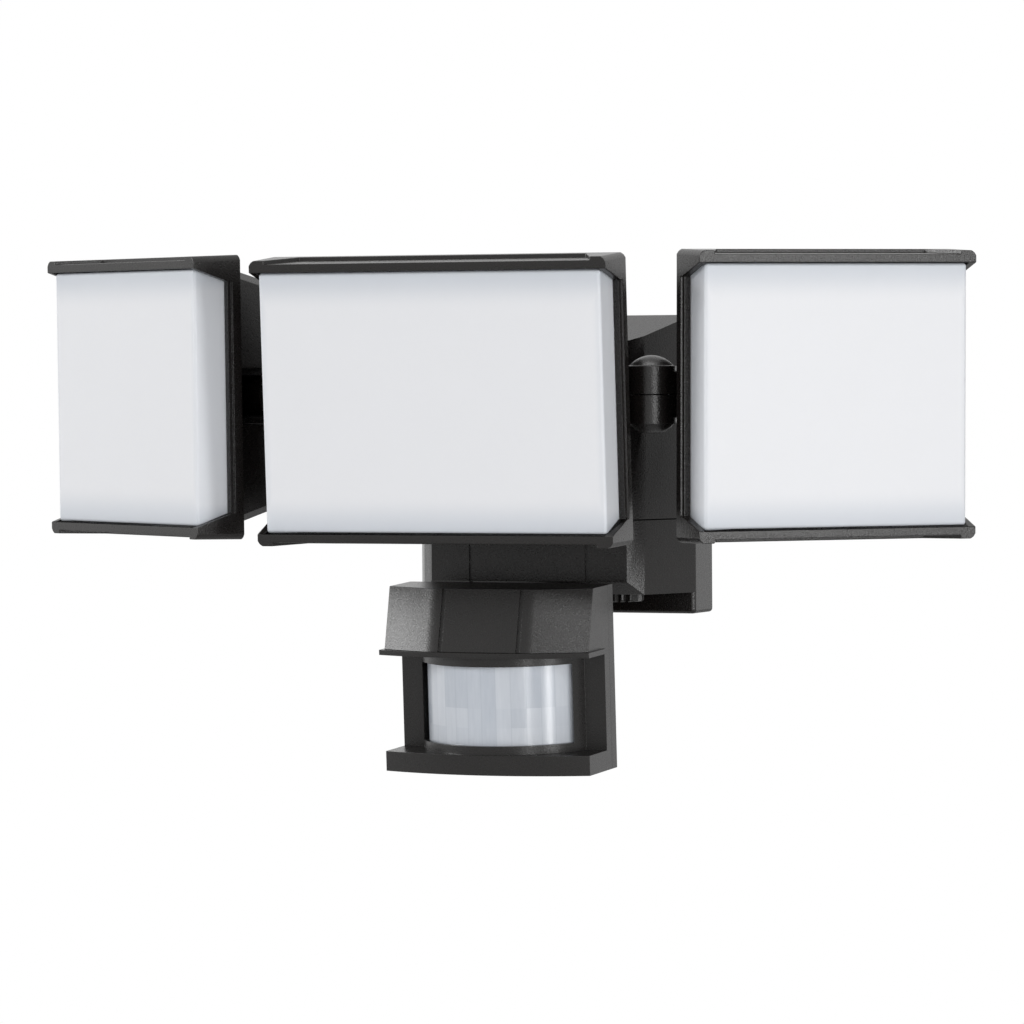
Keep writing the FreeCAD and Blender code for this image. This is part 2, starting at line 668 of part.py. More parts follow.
def knuckle_half(ways):
    """The upper half of a knuckle, with a neck for each way given."""
    split = V(0, 0, SEAT_GAP / 2)
    half = rod(KNUCKLE_RADIUS, split, V(0, 0, KNUCKLE_HALF_HEIGHT))
    for way in ways:
        half = half.fuse(neck(way))
    return half


def arm(spec):
    root = arm_root(spec)
    way = arm_direction(spec)
    seat = root + way * ARM_BOSS_HEIGHT
    centre = knuckle_centre(spec)
    base = dome(KNUCKLE_BOTTOM_DOME_RADIUS, KNUCKLE_BOTTOM_FLAT_RADIUS, KNUCKLE_BOTTOM_DOME)
    half = knuckle_half([V(-way.x, way.y, 0)]).fuse(moved(base, V(0, 0, KNUCKLE_HALF_HEIGHT)))
    solid = moved(turned(half, 180, V(1, 0, 0)), centre)
    solid = solid.fuse(rod(ARM_FLANGE_RADIUS, seat, seat + way * ARM_FLANGE_THICK))
    solid = solid.fuse(taper(ARM_ROOT_RADIUS, ARM_TIP_RADIUS, seat, centre - way * NECK_END))
    spigot_end = root - way * (ARM_BOSS_INSIDE + SEAT_GAP + ARM_NUT_THICK + THREAD_END)
    solid = solid.fuse(rod(ARM_SPIGOT_RADIUS, spigot_end, seat))
    flat = centre - V(0, 0, KNUCKLE_HALF_HEIGHT + KNUCKLE_BOTTOM_DOME)
    recess = rod(BOLT_HEAD_RADIUS + SLIP_FIT, flat - V(0, 0, PAST), flat + V(0, 0, BOLT_HEAD_THICK))
    return solid.cut(recess).cut(rod(BOLT_RADIUS, flat, centre)).removeSplitter()


def hexagon_nut(radius, hole, thick):
    """A six-sided nut standing on z = 0."""
    corners = []
    for step in range(6):
        angle = math.radians(60 * step)
        corners.append(V(radius * math.cos(angle), radius * math.sin(angle), 0))
    return prism(corners, V(0, 0, thick)).cut(rod(hole, V(0, 0, -PAST), V(0, 0, thick + PAST)))


def stood(shape, place, way):
    """A shape made along +Z, put at a place and pointed along a way."""
    copy = shape.copy()
    copy.Placement = FreeCAD.Placement(place, FreeCAD.Rotation(V(0, 0, 1), way))
    return copy


def arm_lock_nuts():
    nut = hexagon_nut(ARM_NUT_RADIUS, ARM_SPIGOT_RADIUS + RUNNING_FIT, ARM_NUT_THICK)
    nuts = []
    for spec in HEADS:
        way = arm_direction(spec)
        nuts.append(stood(nut, arm_root(spec) - way * (ARM_BOSS_INSIDE + SEAT_GAP), way * -1))
    return Part.makeCompound(nuts)


def knuckle_bolts():
    bolts = []
    for spec in HEADS:
        flat = knuckle_centre(spec) - V(0, 0, KNUCKLE_HALF_HEIGHT + KNUCKLE_BOTTOM_DOME)
        seat = flat + V(0, 0, BOLT_HEAD_THICK)
        shank = rod(BOLT_RADIUS, seat, knuckle_centre(spec) + V(0, 0, BOLT_END))
        bolts.append(rod(BOLT_HEAD_RADIUS, flat, seat).fuse(shank))
    return Part.makeCompound(bolts)


# ---- lamp heads: x is sideways, y is behind the brow's edge, z is up from the middle ----
def head_offset(spec):
    return V(spec["side"] * SIDE_HEAD_OFFSET, -spec["back"], 0)


def put_swivel(shape, spec):
    return moved(turned(shape, spec["pan"], V(0, 0, 1)), knuckle_centre(spec))


def put_head(shape, spec):
    tilted = turned(moved(shape, head_offset(spec)), spec["tilt"], V(1, 0, 0))
    return put_swivel(tilted, spec)


def channel_end(spec):
    """From the knuckle's axis to the end wall of a side head's channel."""
    half_at_axis = spec["half"] - LAMP_BACK_INSET_X - (spec["back"] - LAMP_BACK_FRONT) * LAMP_BACK_SLOPE
    return SIDE_HEAD_OFFSET - half_at_axis + CHANNEL_DEPTH


def trunnion_start(spec):
    return channel_end(spec) if spec["side"] else POCKET_HALF_WIDTH


def trunnion_ways(spec):
    return [spec["side"]] if spec["side"] else [-1, 1]


def swivel(spec):
    ways = [V(way, 0, 0) for way in trunnion_ways(spec)]
    crown = dome(KNUCKLE_TOP_DOME_RADIUS, 0, KNUCKLE_TOP_DOME)
    solid = knuckle_half(ways).fuse(moved(crown, V(0, 0, KNUCKLE_HALF_HEIGHT)))
    start = trunnion_start(spec)
    end = start + CHANNEL_WALL + SEAT_GAP + PIVOT_NUT_THICK + THREAD_END
    for way in ways:
        if spec["side"]:
            solid = solid.fuse(rod(SHAFT_RADIUS, way * (NECK_END - PAST), way * (start - SEAT_GAP)))
        solid = solid.fuse(rod(TRUNNION_RADIUS, way * (NECK_END - PAST), way * end))
    solid = solid.cut(rod(BOLT_RADIUS + RUNNING_FIT, V(0, 0, 0), V(0, 0, BOLT_END + SLIP_FIT)))
    return solid.removeSplitter()


def pivot_nuts(spec):
    nut = hexagon_nut(PIVOT_NUT_RADIUS, TRUNNION_RADIUS + RUNNING_FIT, PIVOT_NUT_THICK)
    place = trunnion_start(spec) + CHANNEL_WALL + SEAT_GAP
    ways = [V(way, 0, 0) for way in trunnion_ways(spec)]
    return Part.makeCompound([stood(nut, way * place, way) for way in ways])


def head_frame(spec):
    half = spec["half"]
    front = bevelled_rectangle(half, HEAD_HALF, 0, FRAME_CORNER)
    rear = bevelled_rectangle(half + FRAME_FLARE, HEAD_HALF + FRAME_FLARE, FRAME_DEPTH, FRAME_CORNER)
    frame = loft([front, rear])
    inner_x = half - SIDE_THICK
    inner_z = HEAD_HALF - BROW_THICK
    frame = frame.cut(block((-inner_x, inner_x), (-PAST, FRAME_CAVITY), (-inner_z, inner_z)))
    frame = frame.cut(side_setback(inner_z))
    for relief in brow_reliefs(half):
        frame = frame.cut(relief)
    open_x = half - REAR_OPENING_INSET
    open_z = HEAD_HALF - REAR_OPENING_INSET
    frame = frame.cut(block((-open_x, open_x), (0, BIG), (-open_z, open_z)))
    for x, z in lamp_screw_places(spec):
        frame = frame.cut(rod(SCREW_RADIUS + RUNNING_FIT, V(x, 0, z), V(x, FRAME_DEPTH + PAST, z)))
    return frame


def side_setback(inner_z):
    """What is taken off the front of both side walls, sloping back from the brows."""
    low = inner_z - SIDE_SLOPE_HEIGHT
    points = [V(-BIG, -PAST, inner_z), V(-BIG, 0, inner_z), V(-BIG, SIDE_SETBACK, low),
              V(-BIG, SIDE_SETBACK, -low), V(-BIG, 0, -inner_z), V(-BIG, -PAST, -inner_z)]
    return prism(points, V(2 * BIG, 0, 0))


def brow_reliefs(half):
    """The shallow splayed relief in the outer face of each brow."""
    front = half - RELIEF_END
    back = front - RELIEF_SPLAY
    splay_at_lip = RELIEF_SPLAY / RELIEF_LENGTH * PAST
    points = [V(front + splay_at_lip, -PAST, 0), V(back, RELIEF_LENGTH, 0),
              V(-back, RELIEF_LENGTH, 0), V(-front - splay_at_lip, -PAST, 0)]
    relief = turned(prism(points, V(0, 0, BROW_THICK)), FRAME_DRAFT, V(1, 0, 0))
    top = moved(relief, V(0, 0, HEAD_HALF - RELIEF_DEPTH))
    return [top, top.mirror(V(0, 0, 0), V(0, 0, 1))]


def diffuser(spec):
    half_x = spec["half"] - SIDE_THICK - SLIP_FIT
    half_z = HEAD_HALF - BROW_THICK - SLIP_FIT
    tray = block((-half_x, half_x), (DIFFUSER_FRONT, LED_BOARD_FRONT), (-half_z, half_z))
    rounded = edges_where(tray, lambda middle: middle.y < LED_BOARD_FRONT - PAST)
    tray = tray.makeFillet(DIFFUSER_ROUNDING, rounded)
    inner_x = half_x - DIFFUSER_WALL
    inner_z = half_z - DIFFUSER_WALL
    return tray.cut(block((-inner_x, inner_x), (DIFFUSER_FRONT + DIFFUSER_WALL, BIG), (-inner_z, inner_z)))


def board_sheet(spec, front, thick):
    half_x = spec["half"] - SIDE_THICK - SLIP_FIT
    half_z = HEAD_HALF - BROW_THICK - SLIP_FIT
    return block((-half_x, half_x), (front, front + thick), (-half_z, half_z))


def led_chips(spec):
    columns = int((2 * spec["half"] - LED_PITCH / 2) // LED_PITCH)
    half = LED_SIZE / 2
    chip = block((-half, half), (LED_BOARD_FRONT - LED_THICK, LED_BOARD_FRONT), (-half, half))
    chips = []
    for column in range(columns):
        for row in range(LED_ROWS):
            x = (column - (columns - 1) / 2) * LED_PITCH
            z = (row - (LED_ROWS - 1) / 2) * LED_PITCH
            chips.append(moved(chip, V(x, 0, z)))
    return Part.makeCompound(chips)


def lamp_screw_places(spec):
    x = spec["half"] - LAMP_SCREW_INSET_X
    z = HEAD_HALF - LAMP_SCREW_INSET_Z
    return [(-x, -z), (-x, z), (x, -z), (x, z)]


def lamp_back_body(spec, wall):
    """The tapered back of a lamp head, drawn in by a wall."""
    half_x = spec["half"] - LAMP_BACK_INSET_X - wall
    half_z = HEAD_HALF - LAMP_BACK_INSET_Z - wall
    rear = LAMP_BACK_REAR - wall
    shrink = (rear - LAMP_BACK_FRONT) * LAMP_BACK_SLOPE
    front_wire = bevelled_rectangle(half_x, half_z, LAMP_BACK_FRONT, LAMP_BACK_BEVEL)
    rear_wire = bevelled_rectangle(half_x - shrink, half_z - shrink, rear, LAMP_BACK_BEVEL)
    return loft([front_wire, rear_wire])


def pivot_pocket(spec, wall, end_wall):
    """The space for the swivel behind a head, or with walls, the space and what encloses it."""
    axis = spec["back"]
    if spec["side"]:
        end = channel_end(spec) - SIDE_HEAD_OFFSET + end_wall
        x = (-BIG, end) if spec["side"] > 0 else (BIG, -end)
        z = CHANNEL_HALF_HEIGHT + wall
        return block(x, (axis - CHANNEL_FRONT - wall, BIG), (-z, z))
    x = POCKET_HALF_WIDTH + end_wall
    z = POCKET_HALF_HEIGHT + wall
    return block((-x, x), (axis - POCKET_FLOOR - wall, BIG), (-z, z))


def lamp_back(spec):
    outer = lamp_back_body(spec, 0)
    shell = outer.cut(lamp_back_body(spec, LAMP_BACK_WALL))
    shell = shell.fuse(pivot_pocket(spec, LAMP_BACK_WALL, CHANNEL_WALL).common(outer))
    for x, z in lamp_screw_places(spec):
        boss = rod(LAMP_SCREW_BOSS_RADIUS, V(x, LAMP_BACK_FRONT, z), V(x, LAMP_BACK_REAR, z))
        shell = shell.fuse(boss)
    shell = shell.cut(pivot_pocket(spec, 0, 0))
    seat = LAMP_BACK_FRONT + LAMP_SCREW_SEAT
    for x, z in lamp_screw_places(spec):
        shell = shell.cut(rod(LAMP_SCREW_WELL_RADIUS, V(x, seat, z), V(x, BIG, z)))
        shell = shell.cut(rod(SCREW_RADIUS + RUNNING_FIT, V(x, 0, z), V(x, seat, z)))
    for way in trunnion_ways(spec):
        start = V(way * trunnion_start(spec), 0, 0) - head_offset(spec)
        past = V(way * PAST, 0, 0)
        through = start + V(way * CHANNEL_WALL, 0, 0)
        shell = shell.cut(rod(TRUNNION_RADIUS + RUNNING_FIT, start - past, through + past))
    return shell.removeSplitter()


def lamp_gasket(spec):
    half_x = spec["half"] - LAMP_BACK_INSET_X
    half_z = HEAD_HALF - LAMP_BACK_INSET_Z
    ring = []
    for inset in (0, LAMP_GASKET_WIDTH):
        front = bevelled_rectangle(half_x - inset, half_z - inset, FRAME_DEPTH, LAMP_BACK_BEVEL)
        ring.append(Part.Face(front).extrude(V(0, LAMP_GASKET_THICK, 0)))
    return ring[0].cut(ring[1])


def lamp_screws(spec):
    screws = []
    for x, z in lamp_screw_places(spec):
        seat = V(x, LAMP_BACK_FRONT + LAMP_SCREW_SEAT, z)
        screws.append(pan_screw(seat, V(x, FRAME_CAVITY, z)))
    return Part.makeCompound(screws)


# ---- motion sensor: x is sideways, y is behind the tilt axis, z is up from it ----
def put_sensor(shape):
    return moved(turned(shape, SENSOR_TILT_DEGREES, V(1, 0, 0)), V(0, SENSOR_AXIS_Y, SENSOR_AXIS_Z))


def cap_plan(corner, wall, z):
    """The faceted plan of the cap at a height, drawn in by a wall."""
    half = SENSOR_HALF_WIDTH - wall
    ridge = corner + CAP_BULGE - wall
    points = [(half, -CASE_SEAM), (half, wall - corner), (CAP_RIDGE_X, -ridge)]
    mirror = [(-x, y) for x, y in reversed(points)]
    return outline([V(x, y, z) for x, y in points + mirror])


def sensor_cap(wall):
    bottom = cap_plan(CAP_BOTTOM_CORNER, wall, VISOR_BOTTOM + VISOR_THICK)
    return loft([bottom, cap_plan(CAP_TOP_CORNER, wall, SENSOR_TOP - wall)])


def cap_grooves():
    """Two upright grooves in the sloping front of the cap."""
    bottom = V(0, -CAP_BOTTOM_CORNER - CAP_BULGE, VISOR_BOTTOM + VISOR_THICK)
    top = V(0, -CAP_TOP_CORNER - CAP_BULGE, SENSOR_TOP)
    inward = V(0, CAP_GROOVE_DEPTH, 0)
    out = V(0, -BIG, 0)
    past = (top - bottom).normalize()
    points = [bottom + inward, top + past + inward, top + past + out, bottom + out]
    section = prism(points, V(CAP_GROOVE_WIDTH, 0, 0))
    places = [side * CAP_GROOVE_X - CAP_GROOVE_WIDTH / 2 for side in (-1, 1)]
    return Part.makeCompound([moved(section, V(x, 0, 0)) for x in places])


def bowed_plate(half, corner, bulge, low, high):
    """A level plate from the case's seam to a bowed front edge."""
    left = V(-half, -corner, low)
    right = V(half, -corner, low)
    back_left = V(-half, -CASE_SEAM, low)
    back_right = V(half, -CASE_SEAM, low)
    front = Part.Arc(right, V(0, -corner - bulge, low), left).toShape()
    rest = Part.makePolygon([left, back_left, back_right, right])
    return Part.Face(Part.Wire([front] + rest.Edges)).extrude(V(0, 0, high - low))


def lens_bow(radius, half_width, low, high):
    """The part of an upright cylinder round the lens's centre that stands in front of the seam."""
    centre = V(0, -LENS_CENTRE, low)
    front = block((-half_width, half_width), (-CASE_SEAM, -BIG), (low, high))
    return rod(radius, centre, centre + V(0, 0, high - low)).common(front)


def case_rectangle(y, inset):
    low = SENSOR_BOTTOM + inset
    high = SENSOR_TOP - inset
    half = SENSOR_HALF_WIDTH - inset
    return outline([V(half, y, high), V(half, y, low), V(-half, y, low), V(-half, y, high)])


def sensor_screw_places():
    return [(side * SENSOR_SCREW_X, z) for side in (-1, 1)
            for z in (SENSOR_BOTTOM + SENSOR_SCREW_INSET, SENSOR_TOP - SENSOR_SCREW_INSET)]


def sensor_front():
    case_x = (-SENSOR_HALF_WIDTH, SENSOR_HALF_WIDTH)
    case = block(case_x, (-RECESS_WALL, -CASE_SEAM), (SENSOR_BOTTOM, SENSOR_TOP))
    visor_top = VISOR_BOTTOM + VISOR_THICK
    solid = case.fuse(sensor_cap(0).cut(cap_grooves()))
    visor = bowed_plate(SENSOR_HALF_WIDTH, VISOR_CORNER, CAP_BULGE, VISOR_BOTTOM, visor_top)
    lip = bowed_plate(SENSOR_HALF_WIDTH + VISOR_OVERHANG, VISOR_CORNER, CAP_BULGE, VISOR_BOTTOM, visor_top)
    lip = lip.cut(block((-BIG, BIG), (-RECESS_WALL - VISOR_OVERHANG, BIG), (-BIG, BIG)))
    ledge = bowed_plate(SENSOR_HALF_WIDTH, LEDGE_CORNER, CAP_BULGE, SENSOR_BOTTOM, LEDGE_TOP)
    bezel = lens_bow(LENS_RADIUS + RIM_PROUD, LENS_HALF_WIDTH + STILE_WIDTH, LEDGE_TOP, VISOR_BOTTOM)
    for piece in (visor, lip, ledge, bezel):
        solid = solid.fuse(piece)
    inner = SENSOR_HALF_WIDTH - CAP_WALL
    inner_z = (SENSOR_BOTTOM + CAP_WALL, SENSOR_TOP - CAP_WALL)
    hollow = block((-inner, inner), (-RECESS_WALL + CAP_WALL, 0), inner_z)
    solid = solid.cut(hollow).cut(sensor_cap(CAP_WALL))
    boss_end = -RECESS_WALL + CAP_WALL / 2
    for x, z in sensor_screw_places():
        solid = solid.fuse(rod(SMALL_SCREW_BOSS_RADIUS, V(x, -CASE_SEAM, z), V(x, boss_end, z)))
    behind_lens = LENS_RADIUS - LENS_WALL - SLIP_FIT
    solid = solid.cut(lens_bow(behind_lens, BIG, LENS_BOTTOM - LENS_LAP, LENS_TOP + LENS_LAP))
    window = block((-LENS_HALF_WIDTH, LENS_HALF_WIDTH), (-BIG, -CASE_SEAM), (LENS_BOTTOM, LENS_TOP))
    solid = solid.cut(window).cut(lens_shell(SLIP_FIT))
    for x, z in sensor_screw_places():
        solid = solid.cut(rod(SMALL_SCREW_RADIUS, V(x, 0, z), V(x, boss_end + SLIP_FIT, z)))
    for place in dial_places():
        pocket = rod(DIAL_RADIUS + SEAT_GAP, place, place + V(0, 0, DIAL_POCKET_DEPTH))
        stem_end = place + V(0, 0, DIAL_STEM_TOP + SEAT_GAP)
        solid = solid.cut(pocket).cut(rod(DIAL_STEM_RADIUS + RUNNING_FIT, place, stem_end))
    return solid.removeSplitter()


def lens_shell(gap):
    low = LENS_BOTTOM - LENS_LAP - gap
    high = LENS_TOP + LENS_LAP + gap
    half = LENS_HALF_WIDTH + LENS_LAP + gap
    outer = lens_bow(LENS_RADIUS + gap, half, low, high)
    return outer.cut(lens_bow(LENS_RADIUS - LENS_WALL - gap, BIG, low - PAST, high + PAST))


def sensor_rear():
    straight = -CASE_BACK - (CASE_SEAM - CASE_BACK - CASE_REAR_STRAIGHT)
    body = loft([case_rectangle(-CASE_SEAM, 0), case_rectangle(straight, 0)])
    body = body.fuse(loft([case_rectangle(straight, 0), case_rectangle(-CASE_BACK, CASE_REAR_BEVEL)]))
    inner = CAP_WALL + CASE_REAR_BEVEL
    half = SENSOR_HALF_WIDTH
    cavity = block((CAP_WALL - half, half - CAP_WALL), (-CASE_SEAM - PAST, straight),
                   (SENSOR_BOTTOM + CAP_WALL, SENSOR_TOP - CAP_WALL))
    deep = block((inner - half, half - inner), (-CASE_SEAM - PAST, -CASE_BACK - CAP_WALL),
                 (SENSOR_BOTTOM + inner, SENSOR_TOP - inner))
    shell = body.cut(cavity).cut(deep)
    floor = -CASE_BACK - CAP_WALL
    for x, z in sensor_screw_places():
        boss = rod(SMALL_SCREW_BOSS_RADIUS, V(x, -CASE_SEAM, z), V(x, floor, z))
        shell = shell.fuse(boss.common(body))
    for x in (-BOARD_POST_X, BOARD_POST_X):
        for z in (SENSOR_BOARD_BOTTOM + BOARD_POST_INSET, SENSOR_BOARD_TOP - BOARD_POST_INSET):
            shell = shell.fuse(rod(BOARD_POST_RADIUS, V(x, floor, z), V(x, board_back(), z)))
    for side in (-1, 1):
        shell = shell.fuse(tilt_ear(side))
    for x, z in sensor_screw_places():
        shell = shell.cut(rod(SMALL_SCREW_RADIUS + SLIP_FIT, V(x, -BIG, z), V(x, 0, z)))
        seat = -CASE_BACK - SMALL_SCREW_HEAD_THICK - SLIP_FIT
        shell = shell.cut(rod(SMALL_SCREW_HEAD_RADIUS + SLIP_FIT, V(x, seat, z), V(x, 0, z)))
    bolt_way = V(BIG, 0, 0)
    return shell.cut(rod(TILT_BOLT_RADIUS + RUNNING_FIT, bolt_way * -1, bolt_way)).removeSplitter()


def board_back():
    return -CASE_SEAM + SENSOR_BOARD_THICK * 2


def tilt_ear(side):
    near = side * (SENSOR_BARREL_HALF_WIDTH + SEAT_GAP)
    far = near + side * EAR_THICK
    plate = block((near, far), (-CASE_BACK - CAP_WALL / 2, 0), (-EAR_RADIUS, EAR_RADIUS))
    return plate.fuse(rod(EAR_RADIUS, V(near, 0, 0), V(far, 0, 0)))


def sensor_screws():
    screws = []
    for x, z in sensor_screw_places():
        seat = -CASE_BACK - SMALL_SCREW_HEAD_THICK - SLIP_FIT
        head = rod(SMALL_SCREW_HEAD_RADIUS, V(x, seat, z), V(x, seat + SMALL_SCREW_HEAD_THICK, z))
        tip = V(x, -RECESS_WALL + CAP_WALL / 2 + SLIP_FIT, z)
        screws.append(head.fuse(rod(SMALL_SCREW_RADIUS, tip, V(x, seat, z))))
    return Part.makeCompound(screws)


def sensor_board():
    back = board_back()
    half = SENSOR_BOARD_HALF_WIDTH
    return block((-half, half), (back - SENSOR_BOARD_THICK, back), (SENSOR_BOARD_BOTTOM, SENSOR_BOARD_TOP))


def pir_element():
    z = (LENS_TOP + LENS_BOTTOM) / 2
    seat = V(0, board_back() - SENSOR_BOARD_THICK, z)
    flange = rod(PIR_FLANGE_RADIUS, seat, seat - V(0, PIR_FLANGE_THICK, 0))
    return flange.fuse(rod(PIR_RADIUS, seat, seat - V(0, PIR_HEIGHT, 0)))


def sensor_tilt_bolt():
    outside = SENSOR_BARREL_HALF_WIDTH + SEAT_GAP + EAR_THICK
    head_end = outside + TILT_BOLT_HEAD_THICK
    shank = rod(TILT_BOLT_RADIUS, V(-head_end - THREAD_END, 0, 0), V(outside, 0, 0))
    head = rod(TILT_BOLT_HEAD_RADIUS, V(outside, 0, 0), V(head_end, 0, 0))
    nut = hexagon_nut(TILT_BOLT_HEAD_RADIUS, TILT_BOLT_RADIUS, TILT_BOLT_HEAD_THICK)
    return shank.fuse(head).fuse(stood(nut, V(-outside, 0, 0), V(-1, 0, 0))).removeSplitter()


def dial_places():
    return [V(x, -DIAL_FRONT, SENSOR_BOTTOM) for x in (-DIAL_X, 0, DIAL_X)]


def dial(place):
    low = place + V(0, 0, SLIP_FIT)
    top = low + V(0, 0, DIAL_THICK)
    solid = fluted_disc(DIAL_RADIUS, DIAL_FLUTE_DEPTH, DIAL_FLUTES, low, DIAL_THICK)
    stem_end = place + V(0, 0, DIAL_STEM_TOP)
    solid = solid.fuse(rod(DIAL_STEM_RADIUS, top, stem_end))
    half = DIAL_SLOT / 2
    x = (place.x - half, place.x + half)
    y = (place.y - DIAL_SLOT_REACH, place.y + DIAL_SLOT_REACH)
    return solid.cut(block(x, y, (low.z - PAST, low.z + DIAL_SLOT_DEPTH)))


# ---- the sensor's arm, turning in the carrier's floor ----
def sensor_swivel():
    seat = V(0, SENSOR_PAN_Y, HOUSING_BOTTOM - SEAT_GAP)
    flange_bottom = seat - V(0, 0, SOCKET_FLANGE_THICK)
    solid = rod(SOCKET_FLANGE_RADIUS, seat, flange_bottom)
    top = HOUSING_BOTTOM + HOUSING_WALL + SEAT_GAP + SOCKET_NUT_THICK + THREAD_END
    solid = solid.fuse(rod(SOCKET_RADIUS, seat, V(0, SENSOR_PAN_Y, top)))
    back = SENSOR_PAN_Y + COLUMN_HALF_DEPTH
    front = SENSOR_PAN_Y - COLUMN_HALF_DEPTH
    foot_low = SENSOR_AXIS_Z - BARREL_RADIUS
    foot_high = SENSOR_AXIS_Z + BARREL_RADIUS
    profile = [(back, seat.z), (front, seat.z),
               (front, foot_high + COLUMN_CORNER), (front - COLUMN_CORNER, foot_high),
               (SENSOR_AXIS_Y, foot_high), (SENSOR_AXIS_Y, foot_low),
               (back - COLUMN_CORNER, foot_low), (back, foot_low + COLUMN_CORNER)]
    points = [V(-COLUMN_HALF_WIDTH, y, z) for y, z in profile]
    solid = solid.fuse(prism(points, V(2 * COLUMN_HALF_WIDTH, 0, 0)))
    axis = V(0, SENSOR_AXIS_Y, SENSOR_AXIS_Z)
    reach = V(SENSOR_BARREL_HALF_WIDTH, 0, 0)
    solid = solid.fuse(rod(BARREL_RADIUS, axis - reach, axis + reach))
    bolt = rod(TILT_BOLT_RADIUS + RUNNING_FIT, axis - reach * 2, axis + reach * 2)
    return solid.cut(bolt).removeSplitter()


def sensor_swivel_nut():
    nut = hexagon_nut(SOCKET_NUT_RADIUS, SOCKET_RADIUS + RUNNING_FIT, SOCKET_NUT_THICK)
    return moved(nut, V(0, SENSOR_PAN_Y, HOUSING_BOTTOM + HOUSING_WALL + SEAT_GAP))


# ---- all the pieces ----
def lamp_head_pieces(spec):
    name = spec["name"]
    chest = {
        "frame": head_frame(spec),
        "diffuser": diffuser(spec),
        "led_board": board_sheet(spec, LED_BOARD_FRONT, LED_BOARD_THICK),
        "led_chips": led_chips(spec),
        "heat_plate": board_sheet(spec, LED_BOARD_FRONT + LED_BOARD_THICK, HEAT_PLATE_THICK),
        "lamp_back": lamp_back(spec),
        "lamp_gasket": lamp_gasket(spec),
        "lamp_screws": lamp_screws(spec),
    }
    pieces = {name + "_" + piece: put_head(shape, spec) for piece, shape in chest.items()}
    pieces[name + "_swivel"] = put_swivel(swivel(spec), spec)
    nuts_name = name + ("_pivot_nut" if spec["side"] else "_pivot_nuts")
    pieces[nuts_name] = put_swivel(pivot_nuts(spec), spec)
    pieces[name + "_arm"] = arm(spec)
    return pieces


def base_pieces():
    return {
        "wall_canopy": wall_canopy(),
        "wall_gasket": wall_gasket(),
        "mounting_strap": mounting_strap(),
        "ground_screw": ground_screw(),
        "canopy_side_screws": canopy_side_screws(),
        "junction_housing": junction_housing(),
        "sensor_carrier": sensor_carrier(),
        "carrier_cap_nuts": carrier_cap_nuts(),
        "housing_screws": housing_screws(),
        "led_driver": led_driver(),
        "terminal_block": terminal_block(),
        "arm_lock_nuts": arm_lock_nuts(),
        "knuckle_bolts": knuckle_bolts(),
    }


def sensor_pieces():
    case = {
        "sensor_front": sensor_front(),
        "sensor_rear": sensor_rear(),
        "sensor_lens": lens_shell(0),
        "sensor_board": sensor_board(),
        "pir_element": pir_element(),
        "sensor_screws": sensor_screws(),
        "sensor_tilt_bolt": sensor_tilt_bolt(),
    }
    for name, place in zip(("time_dial", "range_dial", "dusk_dial"), dial_places()):
        case[name] = dial(place)
    pieces = {name: put_sensor(shape) for name, shape in case.items()}
    pieces["sensor_swivel"] = sensor_swivel()
    pieces["sensor_swivel_nut"] = sensor_swivel_nut()
    return pieces


def main():
    pieces = base_pieces()
    for spec in HEADS:
        pieces.update(lamp_head_pieces(spec))
    pieces.update(sensor_pieces())
    os.makedirs(PARTS_FOLDER, exist_ok=True)
    for name, shape in pieces.items():
        shape.exportStep(PARTS_FOLDER + "/" + name + ".step")
        print(name, len(shape.Solids), "solids", round(shape.Volume), "mm3", "valid", shape.isValid())


main()
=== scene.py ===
import bmesh
import bpy
import json
import math
from mathutils import Matrix, Vector


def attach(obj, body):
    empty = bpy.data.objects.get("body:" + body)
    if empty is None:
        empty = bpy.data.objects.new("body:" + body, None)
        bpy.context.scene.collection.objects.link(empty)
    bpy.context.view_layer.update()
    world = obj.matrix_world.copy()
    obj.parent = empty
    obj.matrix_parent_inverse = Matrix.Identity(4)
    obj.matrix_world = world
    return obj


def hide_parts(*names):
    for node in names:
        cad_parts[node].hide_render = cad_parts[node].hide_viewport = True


# Security light with three lamp heads and a motion sensor, held by a wall.
# Sizes are written in millimetres and turned to metres by MM.
# A head is shaped at the origin, x to the right, y behind its brow's edge and z up, and is then put on its
# knuckle.

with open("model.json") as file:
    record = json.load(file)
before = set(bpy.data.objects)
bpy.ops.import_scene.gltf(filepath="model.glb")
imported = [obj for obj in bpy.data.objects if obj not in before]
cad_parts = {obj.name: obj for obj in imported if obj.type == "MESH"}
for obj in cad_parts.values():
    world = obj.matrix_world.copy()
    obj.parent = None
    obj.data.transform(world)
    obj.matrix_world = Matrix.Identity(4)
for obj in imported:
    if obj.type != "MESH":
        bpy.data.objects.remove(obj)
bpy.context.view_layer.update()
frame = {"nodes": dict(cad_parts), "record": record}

MM = 0.001
HEAD_HALF = 53.25
FRAME_DEPTH = 20.5
FRAME_DRAFT = math.radians(1.5)
FRAME_FLARE = FRAME_DEPTH * math.tan(FRAME_DRAFT)
FRAME_CORNER = 1.88
FRAME_CORNER_PROFILE = 0.35
BROW_THICK = 4.5
SIDE_THICK = 2.8
SIDE_SETBACK = 15.0
SIDE_SLOPE = 5.0
SIDE_OFFSET = 56.0
REAR_WALL = 2.0
REBATE_INSET = 0.35
REBATE_LENGTH = 1.7
RELIEF_DEPTH = 1.4
RELIEF_LENGTH = 16.5
RELIEF_END = 6.0
RELIEF_SPLAY = 7.6
DIFFUSER_FRONT = 1.8
DIFFUSER_REAR = 15.5
DIFFUSER_GAP = 0.2
DIFFUSER_WALL = 1.8
DIFFUSER_ROUNDING = 1.3
KNUCKLE_X = 73.0
KNUCKLE_Y = -100.0
KNUCKLE_Z = 27.5
SENSOR_AXIS = Vector((0, -50, -82))
SENSOR_TILT = 3.0
